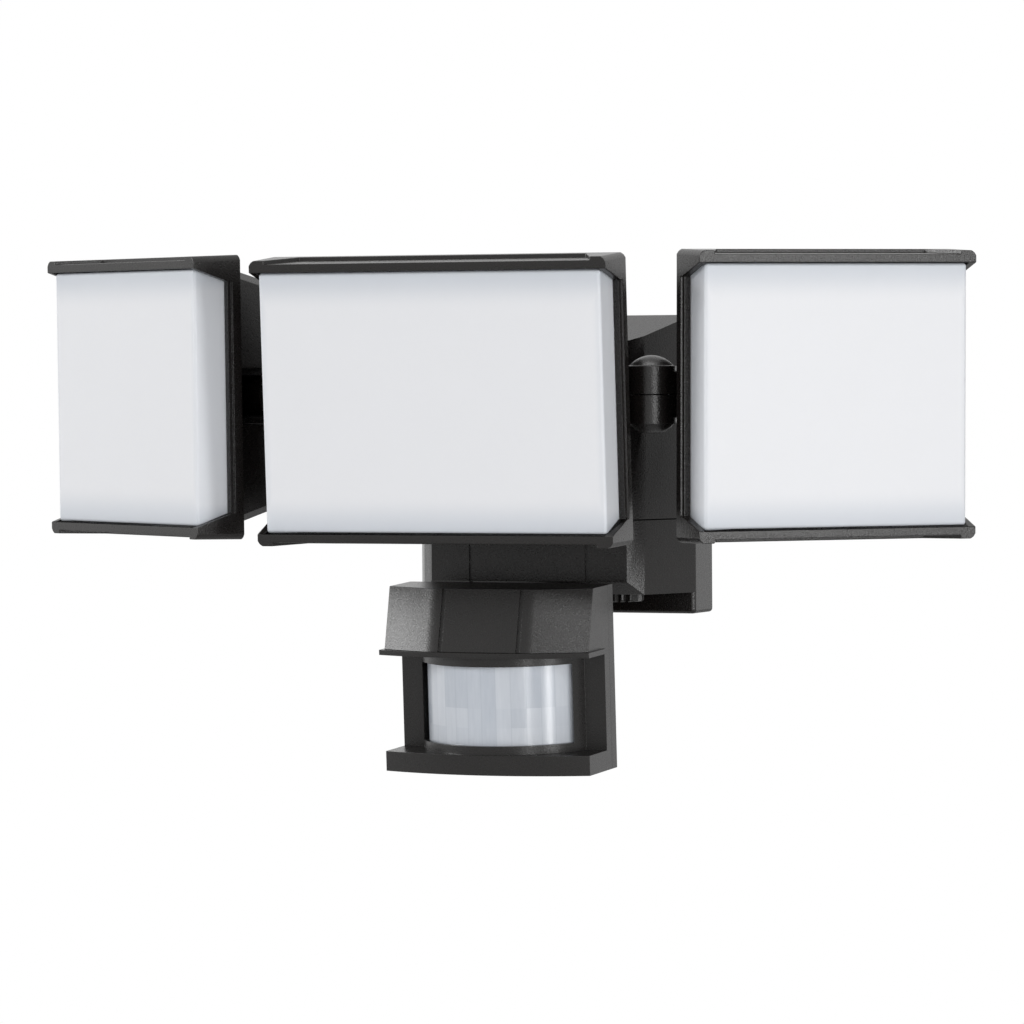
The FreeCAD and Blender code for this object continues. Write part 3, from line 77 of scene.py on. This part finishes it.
LENS_RADIUS = 34.0
LENS_CENTRE = -9.0
LENS_WALL = 1.4
LENS_HALF_WIDTH = 31.6
LENS_LOW = -21.2
LENS_HIGH = 10.2
LENS_FLATS = 48
LENS_SPREAD = math.asin(LENS_HALF_WIDTH / LENS_RADIUS)
LENS_BANDS = 14
LENS_ROW = 0.235
LENS_TALL_ROW = 0.6

FRAME_RADIUS = 0.32
LENS_EDGE = 0.15
LENS_EDGE_ANGLE = 50.0
EDGE_ANGLE = 28.0
SMOOTH_ANGLE = 40.0
FLAT_ANGLE = 0.6
WELD_DISTANCE = 0.002
ROUNDING_STEPS = 5

# How far a cutter goes past a face, and past the whole light.
PAST = 1.0
FAR = 300.0
# The part of a face's normal or an edge's way along an axis that counts as facing it.
ALONG = 0.9

CAMERA_AZIMUTH = 23.43
CAMERA_ELEVATION = 1.63
CAMERA_ROLL = math.radians(-0.40)
CAMERA_PLACE = (0.8334, -1.9852, 0.0423)
CAMERA_LENS = 193.29
CAMERA_SENSOR = 36.0
CAMERA_REACH = 50.0

# Lamps and floor are placed in metres, and a lamp's level is its brightness.
LAMP_AIM = Vector((0, -0.08, 0))
LAMP_DISTANCE = 2.3
TOP_DISTANCE = 1.9
AIR_LEVEL = 0.2
FLOOR_SIZE = 5.0
FLOOR_HEIGHT = -0.62

HEADS = [
    {"name": "left", "side": -1, "half": 55.5, "back": 44.0, "pan": -32.3, "tilt": 0.5},
    {"name": "centre", "side": 0, "half": 70.75, "back": 42.0, "pan": 2.0, "tilt": 3.5},
    {"name": "right", "side": 1, "half": 55.5, "back": 44.0, "pan": 44.5, "tilt": 1.0},
]


# ---- shaping ----
def only(piece):
    """Selects one piece alone and makes it active."""
    bpy.ops.object.select_all(action="DESELECT")
    piece.select_set(True)
    bpy.context.view_layer.objects.active = piece


def settle(piece):
    """Puts a piece's place into its mesh."""
    only(piece)
    bpy.ops.object.transform_apply(location=True, rotation=True, scale=True)
    return piece


def block(name, x, y, z):
    """A block between two ends on each axis, in mm, to shape from."""
    bpy.ops.object.select_all(action="DESELECT")
    middle = [sum(ends) / 2 * MM for ends in (x, y, z)]
    size = [abs(ends[1] - ends[0]) * MM for ends in (x, y, z)]
    bpy.ops.mesh.primitive_cube_add(size=1, location=middle, scale=size)
    piece = bpy.context.active_object
    piece.name = name
    return settle(piece)


def drum(name, radius, start, end, sides):
    """A round bar between two points, in mm, to shape from."""
    bpy.ops.object.select_all(action="DESELECT")
    start, end = Vector(start) * MM, Vector(end) * MM
    way = end - start
    turn = way.to_track_quat("Z", "Y").to_euler()
    bpy.ops.mesh.primitive_cone_add(vertices=sides, radius1=radius * MM, radius2=radius * MM,
                                    depth=way.length, location=(start + end) / 2, rotation=turn)
    piece = bpy.context.active_object
    piece.name = name
    return settle(piece)


def pick(piece, kind, test):
    """Opens a piece for editing with the faces or edges selected that pass a test on their middle, in mm,
    and a face's normal or an edge's way."""
    only(piece)
    bpy.ops.object.mode_set(mode="EDIT")
    bpy.ops.mesh.select_mode(type=kind)
    bpy.ops.mesh.select_all(action="DESELECT")
    mesh = bmesh.from_edit_mesh(piece.data)
    if kind == "FACE":
        for face in mesh.faces:
            face.select_set(test(face.calc_center_median() / MM, face.normal))
    else:
        for edge in mesh.edges:
            one, two = (corner.co for corner in edge.verts)
            edge.select_set(test((one + two) / 2 / MM, (two - one).normalized()))
    bmesh.update_edit_mesh(piece.data)


def close():
    """Ends the editing that pick opened."""
    bpy.ops.object.mode_set(mode="OBJECT")


def modify(piece, kind, **settings):
    """Adds a modifier with its settings and applies it."""
    only(piece)
    modifier = piece.modifiers.new(kind.title(), kind)
    for key, value in settings.items():
        setattr(modifier, key, value)
    bpy.ops.object.modifier_apply(modifier=modifier.name)


def carve(piece, cutter):
    """Cuts one piece out of another and removes it."""
    modify(piece, "BOOLEAN", object=cutter, operation="DIFFERENCE", solver="EXACT")
    bpy.data.objects.remove(cutter)


def weld(piece):
    """Merges what coincides and clears edges within flat faces."""
    only(piece)
    bpy.ops.object.mode_set(mode="EDIT")
    bpy.ops.mesh.select_all(action="SELECT")
    bpy.ops.mesh.remove_doubles(threshold=WELD_DISTANCE * MM)
    bpy.ops.mesh.dissolve_limited(angle_limit=math.radians(FLAT_ANGLE))
    bpy.ops.mesh.normals_make_consistent(inside=False)
    close()


def shade(piece):
    """Shades a piece smoothly but for its sharp edges, with its large faces kept flat."""
    only(piece)
    bpy.ops.object.shade_smooth_by_angle(angle=math.radians(SMOOTH_ANGLE))
    modify(piece, "WEIGHTED_NORMAL", mode="FACE_AREA", weight=80, keep_sharp=True)


def soften(piece, width, steps=2, angle=EDGE_ANGLE):
    """Rounds sharp edges by a small radius and shades the piece."""
    weld(piece)
    modify(piece, "BEVEL", width=width * MM, segments=steps, limit_method="ANGLE",
           angle_limit=math.radians(angle), use_clamp_overlap=True, miter_outer="MITER_ARC")
    shade(piece)


def put(piece, place):
    """Moves a finished piece from its own axes to its place."""
    piece.matrix_world = place
    return settle(piece)


def face_map(piece, spread):
    """Gives a piece the map of its front that its finish follows, 0 to 1 across and up."""
    layer = piece.data.uv_layers.new(name="face")
    for loop in piece.data.loops:
        spot = piece.data.vertices[loop.vertex_index].co / MM
        layer.data[loop.index].uv = spread(spot)


def copied(node, name):
    """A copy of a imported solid's mesh, to finish with rounded edges."""
    piece = frame["nodes"][node].copy()
    piece.data = piece.data.copy()
    piece.name = name
    piece.parent = None
    for key in list(piece.keys()):
        if key.startswith("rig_"):
            del piece[key]
    bpy.context.scene.collection.objects.link(piece)
    only(piece)
    bpy.ops.mesh.customdata_custom_splitnormals_clear()
    return settle(piece)


def finish_piece(piece, body, node, material):
    """Puts a piece on its body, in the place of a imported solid."""
    piece.data.materials.clear()
    piece.data.materials.append(material)
    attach(piece, body)
    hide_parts(node)


# ---- finishes ----
def colour(code):
    """An sRGB hex value as a linear colour."""
    parts = [int(code[step:step + 2], 16) / 255 for step in (0, 2, 4)]
    linear = [part / 12.92 if part <= 0.04045 else ((part + 0.055) / 1.055) ** 2.4 for part in parts]
    return (*linear, 1.0)


def add(material, kind, settings=None, links=None):
    """Adds a node with its settings and links."""
    node = material.node_tree.nodes.new(kind)
    for key, value in (settings or {}).items():
        if isinstance(key, int) or key in node.inputs:
            node.inputs[key].default_value = value
        else:
            setattr(node, key, value)
    for key, source in (links or {}).items():
        material.node_tree.links.new(source, node.inputs[key])
    return node


def blank(name):
    """A new material with no nodes."""
    material = bpy.data.materials.new(name)
    material.use_nodes = True
    material.node_tree.nodes.clear()
    return material


def end(material, shader):
    """Ends a material with its shader."""
    add(material, "ShaderNodeOutputMaterial", links={"Surface": shader.outputs[0]})
    return material


def grained(name, low, high, rough, grain, depth, metallic=0.0, gloss=0.5, cloud=12.0):
    """A coated, moulded or rolled surface: two close colours in soft clouds, and a grain that breaks up
    the sheen. The clouds, the grain and its depth are in mm."""
    material = blank(name)
    place = add(material, "ShaderNodeTexCoord").outputs["Object"]
    clouds = add(material, "ShaderNodeTexNoise", {"Scale": 1 / (cloud * MM), "Detail": 3.0},
                 {"Vector": place})
    grit = add(material, "ShaderNodeTexNoise", {"Scale": 1 / (grain * MM), "Detail": 2.0},
               {"Vector": place})
    tone = add(material, "ShaderNodeMix", {"data_type": "RGBA", 6: colour(low), 7: colour(high)},
               {0: clouds.outputs["Fac"]})
    speck = add(material, "ShaderNodeMix", {"data_type": "RGBA", "blend_type": "SOFT_LIGHT", 0: 0.35},
                {6: tone.outputs[2], 7: grit.outputs["Color"]})
    wear = add(material, "ShaderNodeMapRange", {"To Min": rough - 0.05, "To Max": rough + 0.06},
               {"Value": grit.outputs["Fac"]})
    bump = add(material, "ShaderNodeBump", {"Strength": 0.6, "Distance": depth * MM},
               {"Height": grit.outputs["Fac"]})
    shader = add(material, "ShaderNodeBsdfPrincipled", {"Metallic": metallic, "Specular IOR Level": gloss},
                 {"Base Color": speck.outputs[2], "Roughness": wear.outputs[0], "Normal": bump.outputs[0]})
    return end(material, shader)


def opal_polycarbonate():
    """Frosted opal polycarbonate, moulded: an even soft white, with painted shade that turns it a little
    bluish grey towards the brows and ends, where the frame shades it."""
    material = blank("opal_polycarbonate")
    across = add(material, "ShaderNodeUVMap", {"uv_map": "face"}).outputs["UV"]
    split = add(material, "ShaderNodeSeparateXYZ", links={0: across})
    # painted shade: masks that rise towards the diffuser's ends and brows, where the frame shades it
    painted_shade_rims = []
    for output, reach in (("X", 0.03), ("Y", 0.16)):
        centred = add(material, "ShaderNodeMath", {"operation": "SUBTRACT", 1: 0.5},
                      {0: split.outputs[output]})
        away = add(material, "ShaderNodeMath", {"operation": "ABSOLUTE"}, {0: centred.outputs[0]})
        painted_shade_rim = add(material, "ShaderNodeMapRange",
                  {"From Min": 0.5 - reach, "From Max": 0.5, "interpolation_type": "SMOOTHERSTEP"},
                  {"Value": away.outputs[0]})
        painted_shade_rims.append(painted_shade_rim.outputs[0])
    ends = add(material, "ShaderNodeMath", {"operation": "MULTIPLY", 1: 0.25}, {0: painted_shade_rims[0]})
    brows = add(material, "ShaderNodeMath", {"operation": "MULTIPLY", 1: 0.6}, {0: painted_shade_rims[1]})
    soft = add(material, "ShaderNodeMath", {"operation": "MAXIMUM"},
               {0: ends.outputs[0], 1: brows.outputs[0]})
    place = add(material, "ShaderNodeTexCoord").outputs["Object"]
    frost = add(material, "ShaderNodeTexNoise", {"Scale": 1 / (0.25 * MM), "Detail": 1.0},
                {"Vector": place})
    # painted shade: the white is mixed towards bluish grey BCC3CC near the brows and ends
    tone = add(material, "ShaderNodeMix", {"data_type": "RGBA", 6: colour("E3E4E7"), 7: colour("BCC3CC")},
               {0: soft.outputs[0]})
    bump = add(material, "ShaderNodeBump", {"Strength": 0.15, "Distance": 0.02 * MM},
               {"Height": frost.outputs["Fac"]})
    shader = add(material, "ShaderNodeBsdfPrincipled",
                 {"Roughness": 0.42, "IOR": 1.58, "Specular IOR Level": 0.35, "Subsurface Weight": 0.25,
                  "Subsurface Radius": (3 * MM, 3 * MM, 3 * MM), "Subsurface Scale": 1.0},
                 {"Base Color": tone.outputs[2], "Normal": bump.outputs[0]})
    return end(material, shader)


def milky_polyethylene():
    """Thin moulded polyethylene lens sheet: milky, with a grid of lenses that differ a little in tone, in
    upright bands 5.8 mm wide and three rows, the lower two shorter, under fine upright streaks."""
    material = blank("milky_polyethylene_lens")
    across = add(material, "ShaderNodeUVMap", {"uv_map": "face"}).outputs["UV"]
    split = add(material, "ShaderNodeSeparateXYZ", links={0: across})
    band = add(material, "ShaderNodeMath", {"operation": "SNAP", 1: 1 / LENS_BANDS},
               {0: split.outputs["X"]})
    top = add(material, "ShaderNodeMath", {"operation": "MINIMUM", 1: LENS_TALL_ROW},
              {0: split.outputs["Y"]})
    row = add(material, "ShaderNodeMath", {"operation": "SNAP", 1: LENS_ROW}, {0: top.outputs[0]})
    cell = add(material, "ShaderNodeCombineXYZ", links={0: band.outputs[0], 1: row.outputs[0]})
    chance = add(material, "ShaderNodeTexWhiteNoise", {"noise_dimensions": "3D"},
                 {"Vector": cell.outputs[0]})
    drawn = add(material, "ShaderNodeMapping", {"Scale": (60.0, 3.0, 1.0)}, {"Vector": across})
    streak = add(material, "ShaderNodeTexNoise", {"Scale": 1.0, "Detail": 3.0, "Roughness": 0.6},
                 {"Vector": drawn.outputs[0]})
    both = add(material, "ShaderNodeMix", {"data_type": "FLOAT", 0: 0.45},
               {2: chance.outputs["Value"], 3: streak.outputs["Fac"]})
    tone = add(material, "ShaderNodeMix", {"data_type": "RGBA", 6: colour("ADB4BE"), 7: colour("D0D4DA")},
               {0: both.outputs[0]})
    joint = add(material, "ShaderNodeMath", {"operation": "PINGPONG", 1: 1 / (2 * LENS_BANDS)},
                {0: split.outputs["X"]})
    line = add(material, "ShaderNodeMapRange",
               {"From Min": 0.0, "From Max": 0.004, "To Min": 0.35, "To Max": 0.0},
               {"Value": joint.outputs[0]})
    ruled = add(material, "ShaderNodeMix", {"data_type": "RGBA", 7: colour("A7AEB7")},
                {0: line.outputs[0], 6: tone.outputs[2]})
    bump = add(material, "ShaderNodeBump", {"Strength": 0.25, "Distance": 0.03 * MM},
               {"Height": streak.outputs["Fac"]})
    shader = add(material, "ShaderNodeBsdfPrincipled",
                 {"Roughness": 0.2, "IOR": 1.51, "Specular IOR Level": 0.6, "Subsurface Weight": 0.2,
                  "Subsurface Radius": (2 * MM, 2 * MM, 2 * MM), "Subsurface Scale": 1.0},
                 {"Base Color": ruled.outputs[2], "Normal": bump.outputs[0]})
    return end(material, shader)


# Powder coat on cast aluminium: near-black charcoal, with a soft sheen broken by an orange-peel grain of
# about half a millimetre that shows where a lamp is reflected.
coat = grained("charcoal_powder_coat", "0F0D0C", "161312", rough=0.28, grain=0.55, depth=0.14,
               gloss=0.4)
# Injection-moulded ASA from a spark-eroded mould: the same charcoal, with a finer, shallower grain.
moulded = grained("charcoal_moulded_asa", "100E0D", "171514", rough=0.28, grain=0.45, depth=0.09, gloss=0.4)
diffuser_finish = opal_polycarbonate()
lens_finish = milky_polyethylene()
FINISHES = {
    "dark_powder_coat": coat,
    "dark_plastic": moulded,
    "opal_diffuser": diffuser_finish,
    "sensor_window": lens_finish,
    # closed-cell foam rubber: matt black with small open pores
    "gasket_rubber": grained("foam_rubber", "161616", "202020", rough=0.85, grain=0.6, depth=0.12,
                             gloss=0.3),
    # zinc-plated pressed steel: cool bright grey with a faint spangle
    "zinc_steel": grained("zinc_plated_steel", "A9ABAD", "C2C3C2", rough=0.34, grain=1.2, depth=0.01,
                          metallic=1.0),
    # black-oxide steel: dark metal with an oily sheen
    "blackened_steel": grained("black_oxide_steel", "2C2B2C", "3A3838", rough=0.36, grain=0.4, depth=0.01,
                               metallic=0.8),
    # green-dyed brass earth screw: metal showing through a green stain
    "green_screw": grained("green_dyed_brass", "1F6B38", "2A7D45", rough=0.35, grain=0.5, depth=0.01,
                           metallic=0.6),
    # white polycarbonate driver case: matt, with a fine spark texture
    "driver_case": grained("white_moulded_polycarbonate", "D9D8D3", "E3E2DD", rough=0.5, grain=0.5,
                           depth=0.02),
    # ivory polyamide terminal block: warm off-white with a dull sheen
    "terminal_plastic": grained("ivory_polyamide", "D2CCB8", "DDD7C4", rough=0.45, grain=0.6, depth=0.01),
    # aluminium-core board under white solder mask: smooth, bright and slightly glossy
    "led_board": grained("white_solder_mask", "E6E6E2", "EFEFEC", rough=0.4, grain=0.4, depth=0.01),
    # phosphor silicone over the chips: waxy yellow
    "led_phosphor": grained("phosphor_silicone", "E6CF5A", "F0DC72", rough=0.3, grain=0.3, depth=0.01),
    # rolled aluminium sheet: pale metal with the rolling's faint cloudiness
    "heat_plate": grained("rolled_aluminium", "B4B6B8", "C6C8C9", rough=0.36, grain=0.7, depth=0.01,
                          metallic=1.0),
    # glass-epoxy board under green solder mask: deep green with a lacquered sheen
    "circuit_board": grained("green_solder_mask", "12492A", "185A35", rough=0.35, grain=0.4, depth=0.01),
    # nickel-plated deep-drawn can: warm, fairly bright metal
    "nickel_can": grained("nickel_plate", "B9B4AA", "C9C4B9", rough=0.25, grain=0.8, depth=0.005,
                          metallic=1.0),
    # dark grey polyamide dials: dull, with a fine grain
    "dial_plastic": grained("grey_polyamide", "3A3A3B", "444445", rough=0.45, grain=0.4, depth=0.02),
}
for part in frame["record"]["subparts"]:
    node = frame["nodes"][part["node"]]
    node.data.materials.clear()
    node.data.materials.append(FINISHES[part["material_slot"]])


# ---- lamp heads ----
def head_place(head):
    """From a head's own axes to where it stands on its knuckle."""
    knuckle = Matrix.Translation(Vector((head["side"] * KNUCKLE_X, KNUCKLE_Y, KNUCKLE_Z)) * MM)
    pan = Matrix.Rotation(math.radians(head["pan"]), 4, "Z")
    tilt = Matrix.Rotation(math.radians(head["tilt"]), 4, "X")
    offset = Matrix.Translation(Vector((head["side"] * SIDE_OFFSET, -head["back"], 0)) * MM)
    return knuckle @ pan @ tilt @ offset


def brow_relief(half, side):
    """The splayed recess in the outer face of a brow, above or below."""
    front = half - RELIEF_END + RELIEF_SPLAY / RELIEF_LENGTH * PAST
    inner = side * (HEAD_HALF - RELIEF_DEPTH)
    outer = side * (HEAD_HALF + BROW_THICK)
    cutter = block("relief", (-front, front), (-PAST, RELIEF_LENGTH), (inner, outer))
    pick(cutter, "FACE", lambda middle, normal: normal.y > ALONG)
    narrow = (half - RELIEF_END - RELIEF_SPLAY) / front
    bpy.ops.transform.resize(value=(narrow, 1, 1))
    bpy.ops.transform.translate(value=(0, 0, side * RELIEF_LENGTH * math.tan(FRAME_DRAFT) * MM))
    close()
    return cutter


def setback(half, inner):
    """What the side walls leave free in front, sloping back from the brows."""
    lead = inner + SIDE_SLOPE / SIDE_SETBACK * PAST
    cutter = block("setback", (-half - FAR, half + FAR), (-PAST, SIDE_SETBACK), (-lead, lead))
    pick(cutter, "FACE", lambda middle, normal: normal.y > ALONG)
    bpy.ops.transform.resize(value=(1, 1, (inner - SIDE_SLOPE) / lead))
    close()
    return cutter


def head_frame(head):
    """A cast bezel: a block with drafted sides and small corners, hollowed for the diffuser, with its side
    walls set back from the brows, a recess in each brow and a rebate along each side wall."""
    half = head["half"]
    inner_x = half - SIDE_THICK
    inner_z = HEAD_HALF - BROW_THICK
    reach = inner_z - SIDE_SLOPE
    piece = block(head["name"] + "_bezel", (-half, half), (0, FRAME_DEPTH), (-HEAD_HALF, HEAD_HALF))
    pick(piece, "EDGE", lambda middle, way: abs(way.y) > ALONG)
    bpy.ops.mesh.bevel(offset=FRAME_CORNER * MM, offset_type="OFFSET", segments=2,
                       profile=FRAME_CORNER_PROFILE)
    close()
    pick(piece, "FACE", lambda middle, normal: normal.y > ALONG)
    bpy.ops.transform.resize(value=(1 + FRAME_FLARE / half, 1, 1 + FRAME_FLARE / HEAD_HALF))
    close()
    depth = (-PAST, FRAME_DEPTH - REAR_WALL)
    carve(piece, block("hollow", (-inner_x, inner_x), depth, (-inner_z, inner_z)))
    carve(piece, setback(half, inner_z))
    for side in (-1, 1):
        carve(piece, brow_relief(half, side))
        across = (side * (half - REBATE_INSET), side * (half + FAR))
        along = (SIDE_SETBACK - PAST, SIDE_SETBACK + REBATE_LENGTH)
        carve(piece, block("rebate", across, along, (-reach, reach)))
    soften(piece, FRAME_RADIUS)
    put(piece, head_place(head))
    finish_piece(piece, head["name"] + "_head", head["name"] + "_frame", coat)


def head_diffuser(head):
    """A moulded diffuser: a block with rounded front edges, hollowed from behind to its wall."""
    half_x = head["half"] - SIDE_THICK - DIFFUSER_GAP
    half_z = HEAD_HALF - BROW_THICK - DIFFUSER_GAP
    ends_x, ends_z = (-half_x, half_x), (-half_z, half_z)
    piece = block(head["name"] + "_opal", ends_x, (DIFFUSER_FRONT, DIFFUSER_REAR), ends_z)
    pick(piece, "EDGE", lambda middle, way: middle.y < DIFFUSER_REAR - PAST)
    bpy.ops.mesh.bevel(offset=DIFFUSER_ROUNDING * MM, offset_type="OFFSET", segments=ROUNDING_STEPS)
    close()
    inside = block("inside", (-half_x + DIFFUSER_WALL, half_x - DIFFUSER_WALL),
                   (DIFFUSER_FRONT + DIFFUSER_WALL, DIFFUSER_REAR + PAST),
                   (-half_z + DIFFUSER_WALL, half_z - DIFFUSER_WALL))
    carve(piece, inside)
    shade(piece)
    face_map(piece, lambda spot: (spot.x / half_x / 2 + 0.5, spot.z / half_z / 2 + 0.5))
    put(piece, head_place(head))
    finish_piece(piece, head["name"] + "_head", head["name"] + "_diffuser",
                 diffuser_finish)


# ---- sensor ----
def sensor_place():
    """From the sensor's own axes to where it hangs."""
    return Matrix.Translation(SENSOR_AXIS * MM) @ Matrix.Rotation(math.radians(SENSOR_TILT), 4, "X")


def lens_drum(radius, low, high):
    """A bar about the lens sheet's middle, in flats."""
    return drum("lens_drum", radius, (0, LENS_CENTRE, low), (0, LENS_CENTRE, high), LENS_FLATS)


def lens_spread(spot):
    """Where a point of the lens sheet lies, 0 to 1 round and up the window."""
    around = math.atan2(spot.x, LENS_CENTRE - spot.y)
    return around / LENS_SPREAD / 2 + 0.5, (spot.z - LENS_LOW) / (LENS_HIGH - LENS_LOW)


def sensor_lens():
    """The bowed lens sheet: a tube in narrow flats, cut down to the window's width."""
    piece = lens_drum(LENS_RADIUS, LENS_LOW, LENS_HIGH)
    piece.name = "sensor_lens_sheet"
    carve(piece, lens_drum(LENS_RADIUS - LENS_WALL, LENS_LOW - PAST, LENS_HIGH + PAST))
    rear = LENS_CENTRE - math.sqrt(LENS_RADIUS ** 2 - LENS_HALF_WIDTH ** 2) + LENS_WALL
    carve(piece, block("rear", (-FAR, FAR), (rear, FAR), (-FAR, FAR)))
    for side in (-1, 1):
        carve(piece, block("end", (side * LENS_HALF_WIDTH, side * FAR), (-FAR, FAR), (-FAR, FAR)))
    soften(piece, LENS_EDGE, steps=1, angle=LENS_EDGE_ANGLE)
    face_map(piece, lens_spread)
    put(piece, sensor_place())
    finish_piece(piece, "sensor_head", "sensor_lens", lens_finish)


for head in HEADS:
    head_frame(head)
    head_diffuser(head)
sensor_lens()


# ---- castings and mouldings ----
def cast(node, name, body, radius):
    """A coated casting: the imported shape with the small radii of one."""
    piece = copied(node, name)
    soften(piece, radius)
    finish_piece(piece, body, node, coat)


def mould(node, name, body, radius):
    """A dark moulding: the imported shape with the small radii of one."""
    piece = copied(node, name)
    soften(piece, radius)
    finish_piece(piece, body, node, moulded)


cast("wall_canopy", "canopy_casting", "base", 0.3)
cast("junction_housing", "housing_casting", "base", 0.35)
cast("sensor_carrier", "carrier_casting", "base", 0.35)
mould("sensor_front", "sensor_case_front", "sensor_head", 0.28)
mould("sensor_rear", "sensor_case_rear", "sensor_head", 0.28)
mould("sensor_swivel", "sensor_elbow", "sensor_swivel", 0.3)
for head in HEADS:
    name = head["name"]
    cast(name + "_lamp_back", name + "_back_casting", name + "_head", 0.4)
    cast(name + "_arm", name + "_arm_casting", "base", 0.3)
    cast(name + "_swivel", name + "_swivel_casting", name + "_swivel", 0.3)


# ---- studio ----
def towards(azimuth, elevation):
    """The way from the light to a lamp or the camera. Azimuth 0 is in front of it, and 90 on the right."""
    a, e = math.radians(azimuth), math.radians(elevation)
    return Vector((math.sin(a) * math.cos(e), -math.cos(a) * math.cos(e), math.sin(e)))


def softbox(name, azimuth, elevation, width, height, level, distance=LAMP_DISTANCE):
    """A soft lamp aimed at the light."""
    back = towards(azimuth, elevation)
    data = bpy.data.lights.new(name, "AREA")
    data.shape = "RECTANGLE"
    data.size = width
    data.size_y = height
    data.energy = level * math.pi * width * height
    lamp = bpy.data.objects.new(name, data)
    lamp.location = back * distance + LAMP_AIM
    lamp.rotation_euler = back.to_track_quat("Z", "Y").to_euler()
    bpy.context.scene.collection.objects.link(lamp)


def lamps():
    """Soft lamps for the coat's highlights: two on the right, one in front, one on the left, one above."""
    softbox("right_strip", azimuth=66, elevation=2, width=0.32, height=1.2, level=12.0)
    softbox("gap_strip", azimuth=38, elevation=3, width=0.22, height=1.1, level=14.0)
    softbox("front_softbox", azimuth=16, elevation=24, width=0.5, height=0.35, level=11.5)
    softbox("left_softbox", azimuth=-64, elevation=16, width=0.55, height=0.8, level=17.0)
    softbox("top_softbox", azimuth=0, elevation=80, width=1.2, height=0.8, level=5.0,
            distance=TOP_DISTANCE)


def air():
    """A white surround for the camera, reflections and what shines through, which lights the rest softly."""
    world = bpy.data.worlds.new("studio_air")
    bpy.context.scene.world = world
    world.use_nodes = True
    world.node_tree.nodes.clear()
    path = add(world, "ShaderNodeLightPath")
    seen = add(world, "ShaderNodeMath", {"operation": "MAXIMUM"},
               {0: path.outputs["Is Camera Ray"], 1: path.outputs["Is Glossy Ray"]})
    through = add(world, "ShaderNodeMath", {"operation": "MAXIMUM"},
                  {0: seen.outputs[0], 1: path.outputs["Is Transmission Ray"]})
    soft = add(world, "ShaderNodeBackground", {"Color": (1, 1, 1, 1), "Strength": AIR_LEVEL})
    white = add(world, "ShaderNodeBackground", {"Color": (1, 1, 1, 1), "Strength": 1.0})
    mixed = add(world, "ShaderNodeMixShader",
                links={0: through.outputs[0], 1: soft.outputs[0], 2: white.outputs[0]})
    add(world, "ShaderNodeOutputWorld", links={"Surface": mixed.outputs[0]})


def studio_floor():
    """Pale painted floor, matt and even, below the light."""
    bpy.ops.object.select_all(action="DESELECT")
    bpy.ops.mesh.primitive_plane_add(size=FLOOR_SIZE, location=(0, 0, FLOOR_HEIGHT))
    floor = bpy.context.active_object
    floor.name = "studio_floor"
    paint = grained("pale_floor_paint", "E9E9E9", "EFEFEF", rough=0.7, grain=6.0, depth=0.01)
    floor.data.materials.append(paint)


def camera():
    """The photograph's camera: a long lens to the right of the light, level with its middle."""
    back = towards(CAMERA_AZIMUTH, CAMERA_ELEVATION)
    right = Vector((0, 0, 1)).cross(back).normalized()
    up = back.cross(right)
    side = math.cos(CAMERA_ROLL) * right + math.sin(CAMERA_ROLL) * up
    top = -math.sin(CAMERA_ROLL) * right + math.cos(CAMERA_ROLL) * up
    data = bpy.data.cameras.new("photo_camera")
    data.sensor_width = CAMERA_SENSOR
    data.sensor_fit = "HORIZONTAL"
    data.lens = CAMERA_LENS
    data.clip_end = CAMERA_REACH
    eye = bpy.data.objects.new("photo_camera", data)
    turn = Matrix((side, top, back)).transposed().to_4x4()
    eye.matrix_world = Matrix.Translation(CAMERA_PLACE) @ turn
    bpy.context.scene.collection.objects.link(eye)
    bpy.context.scene.camera = eye


lamps()
air()
studio_floor()
camera()
bpy.context.scene.view_settings.view_transform = "Standard"
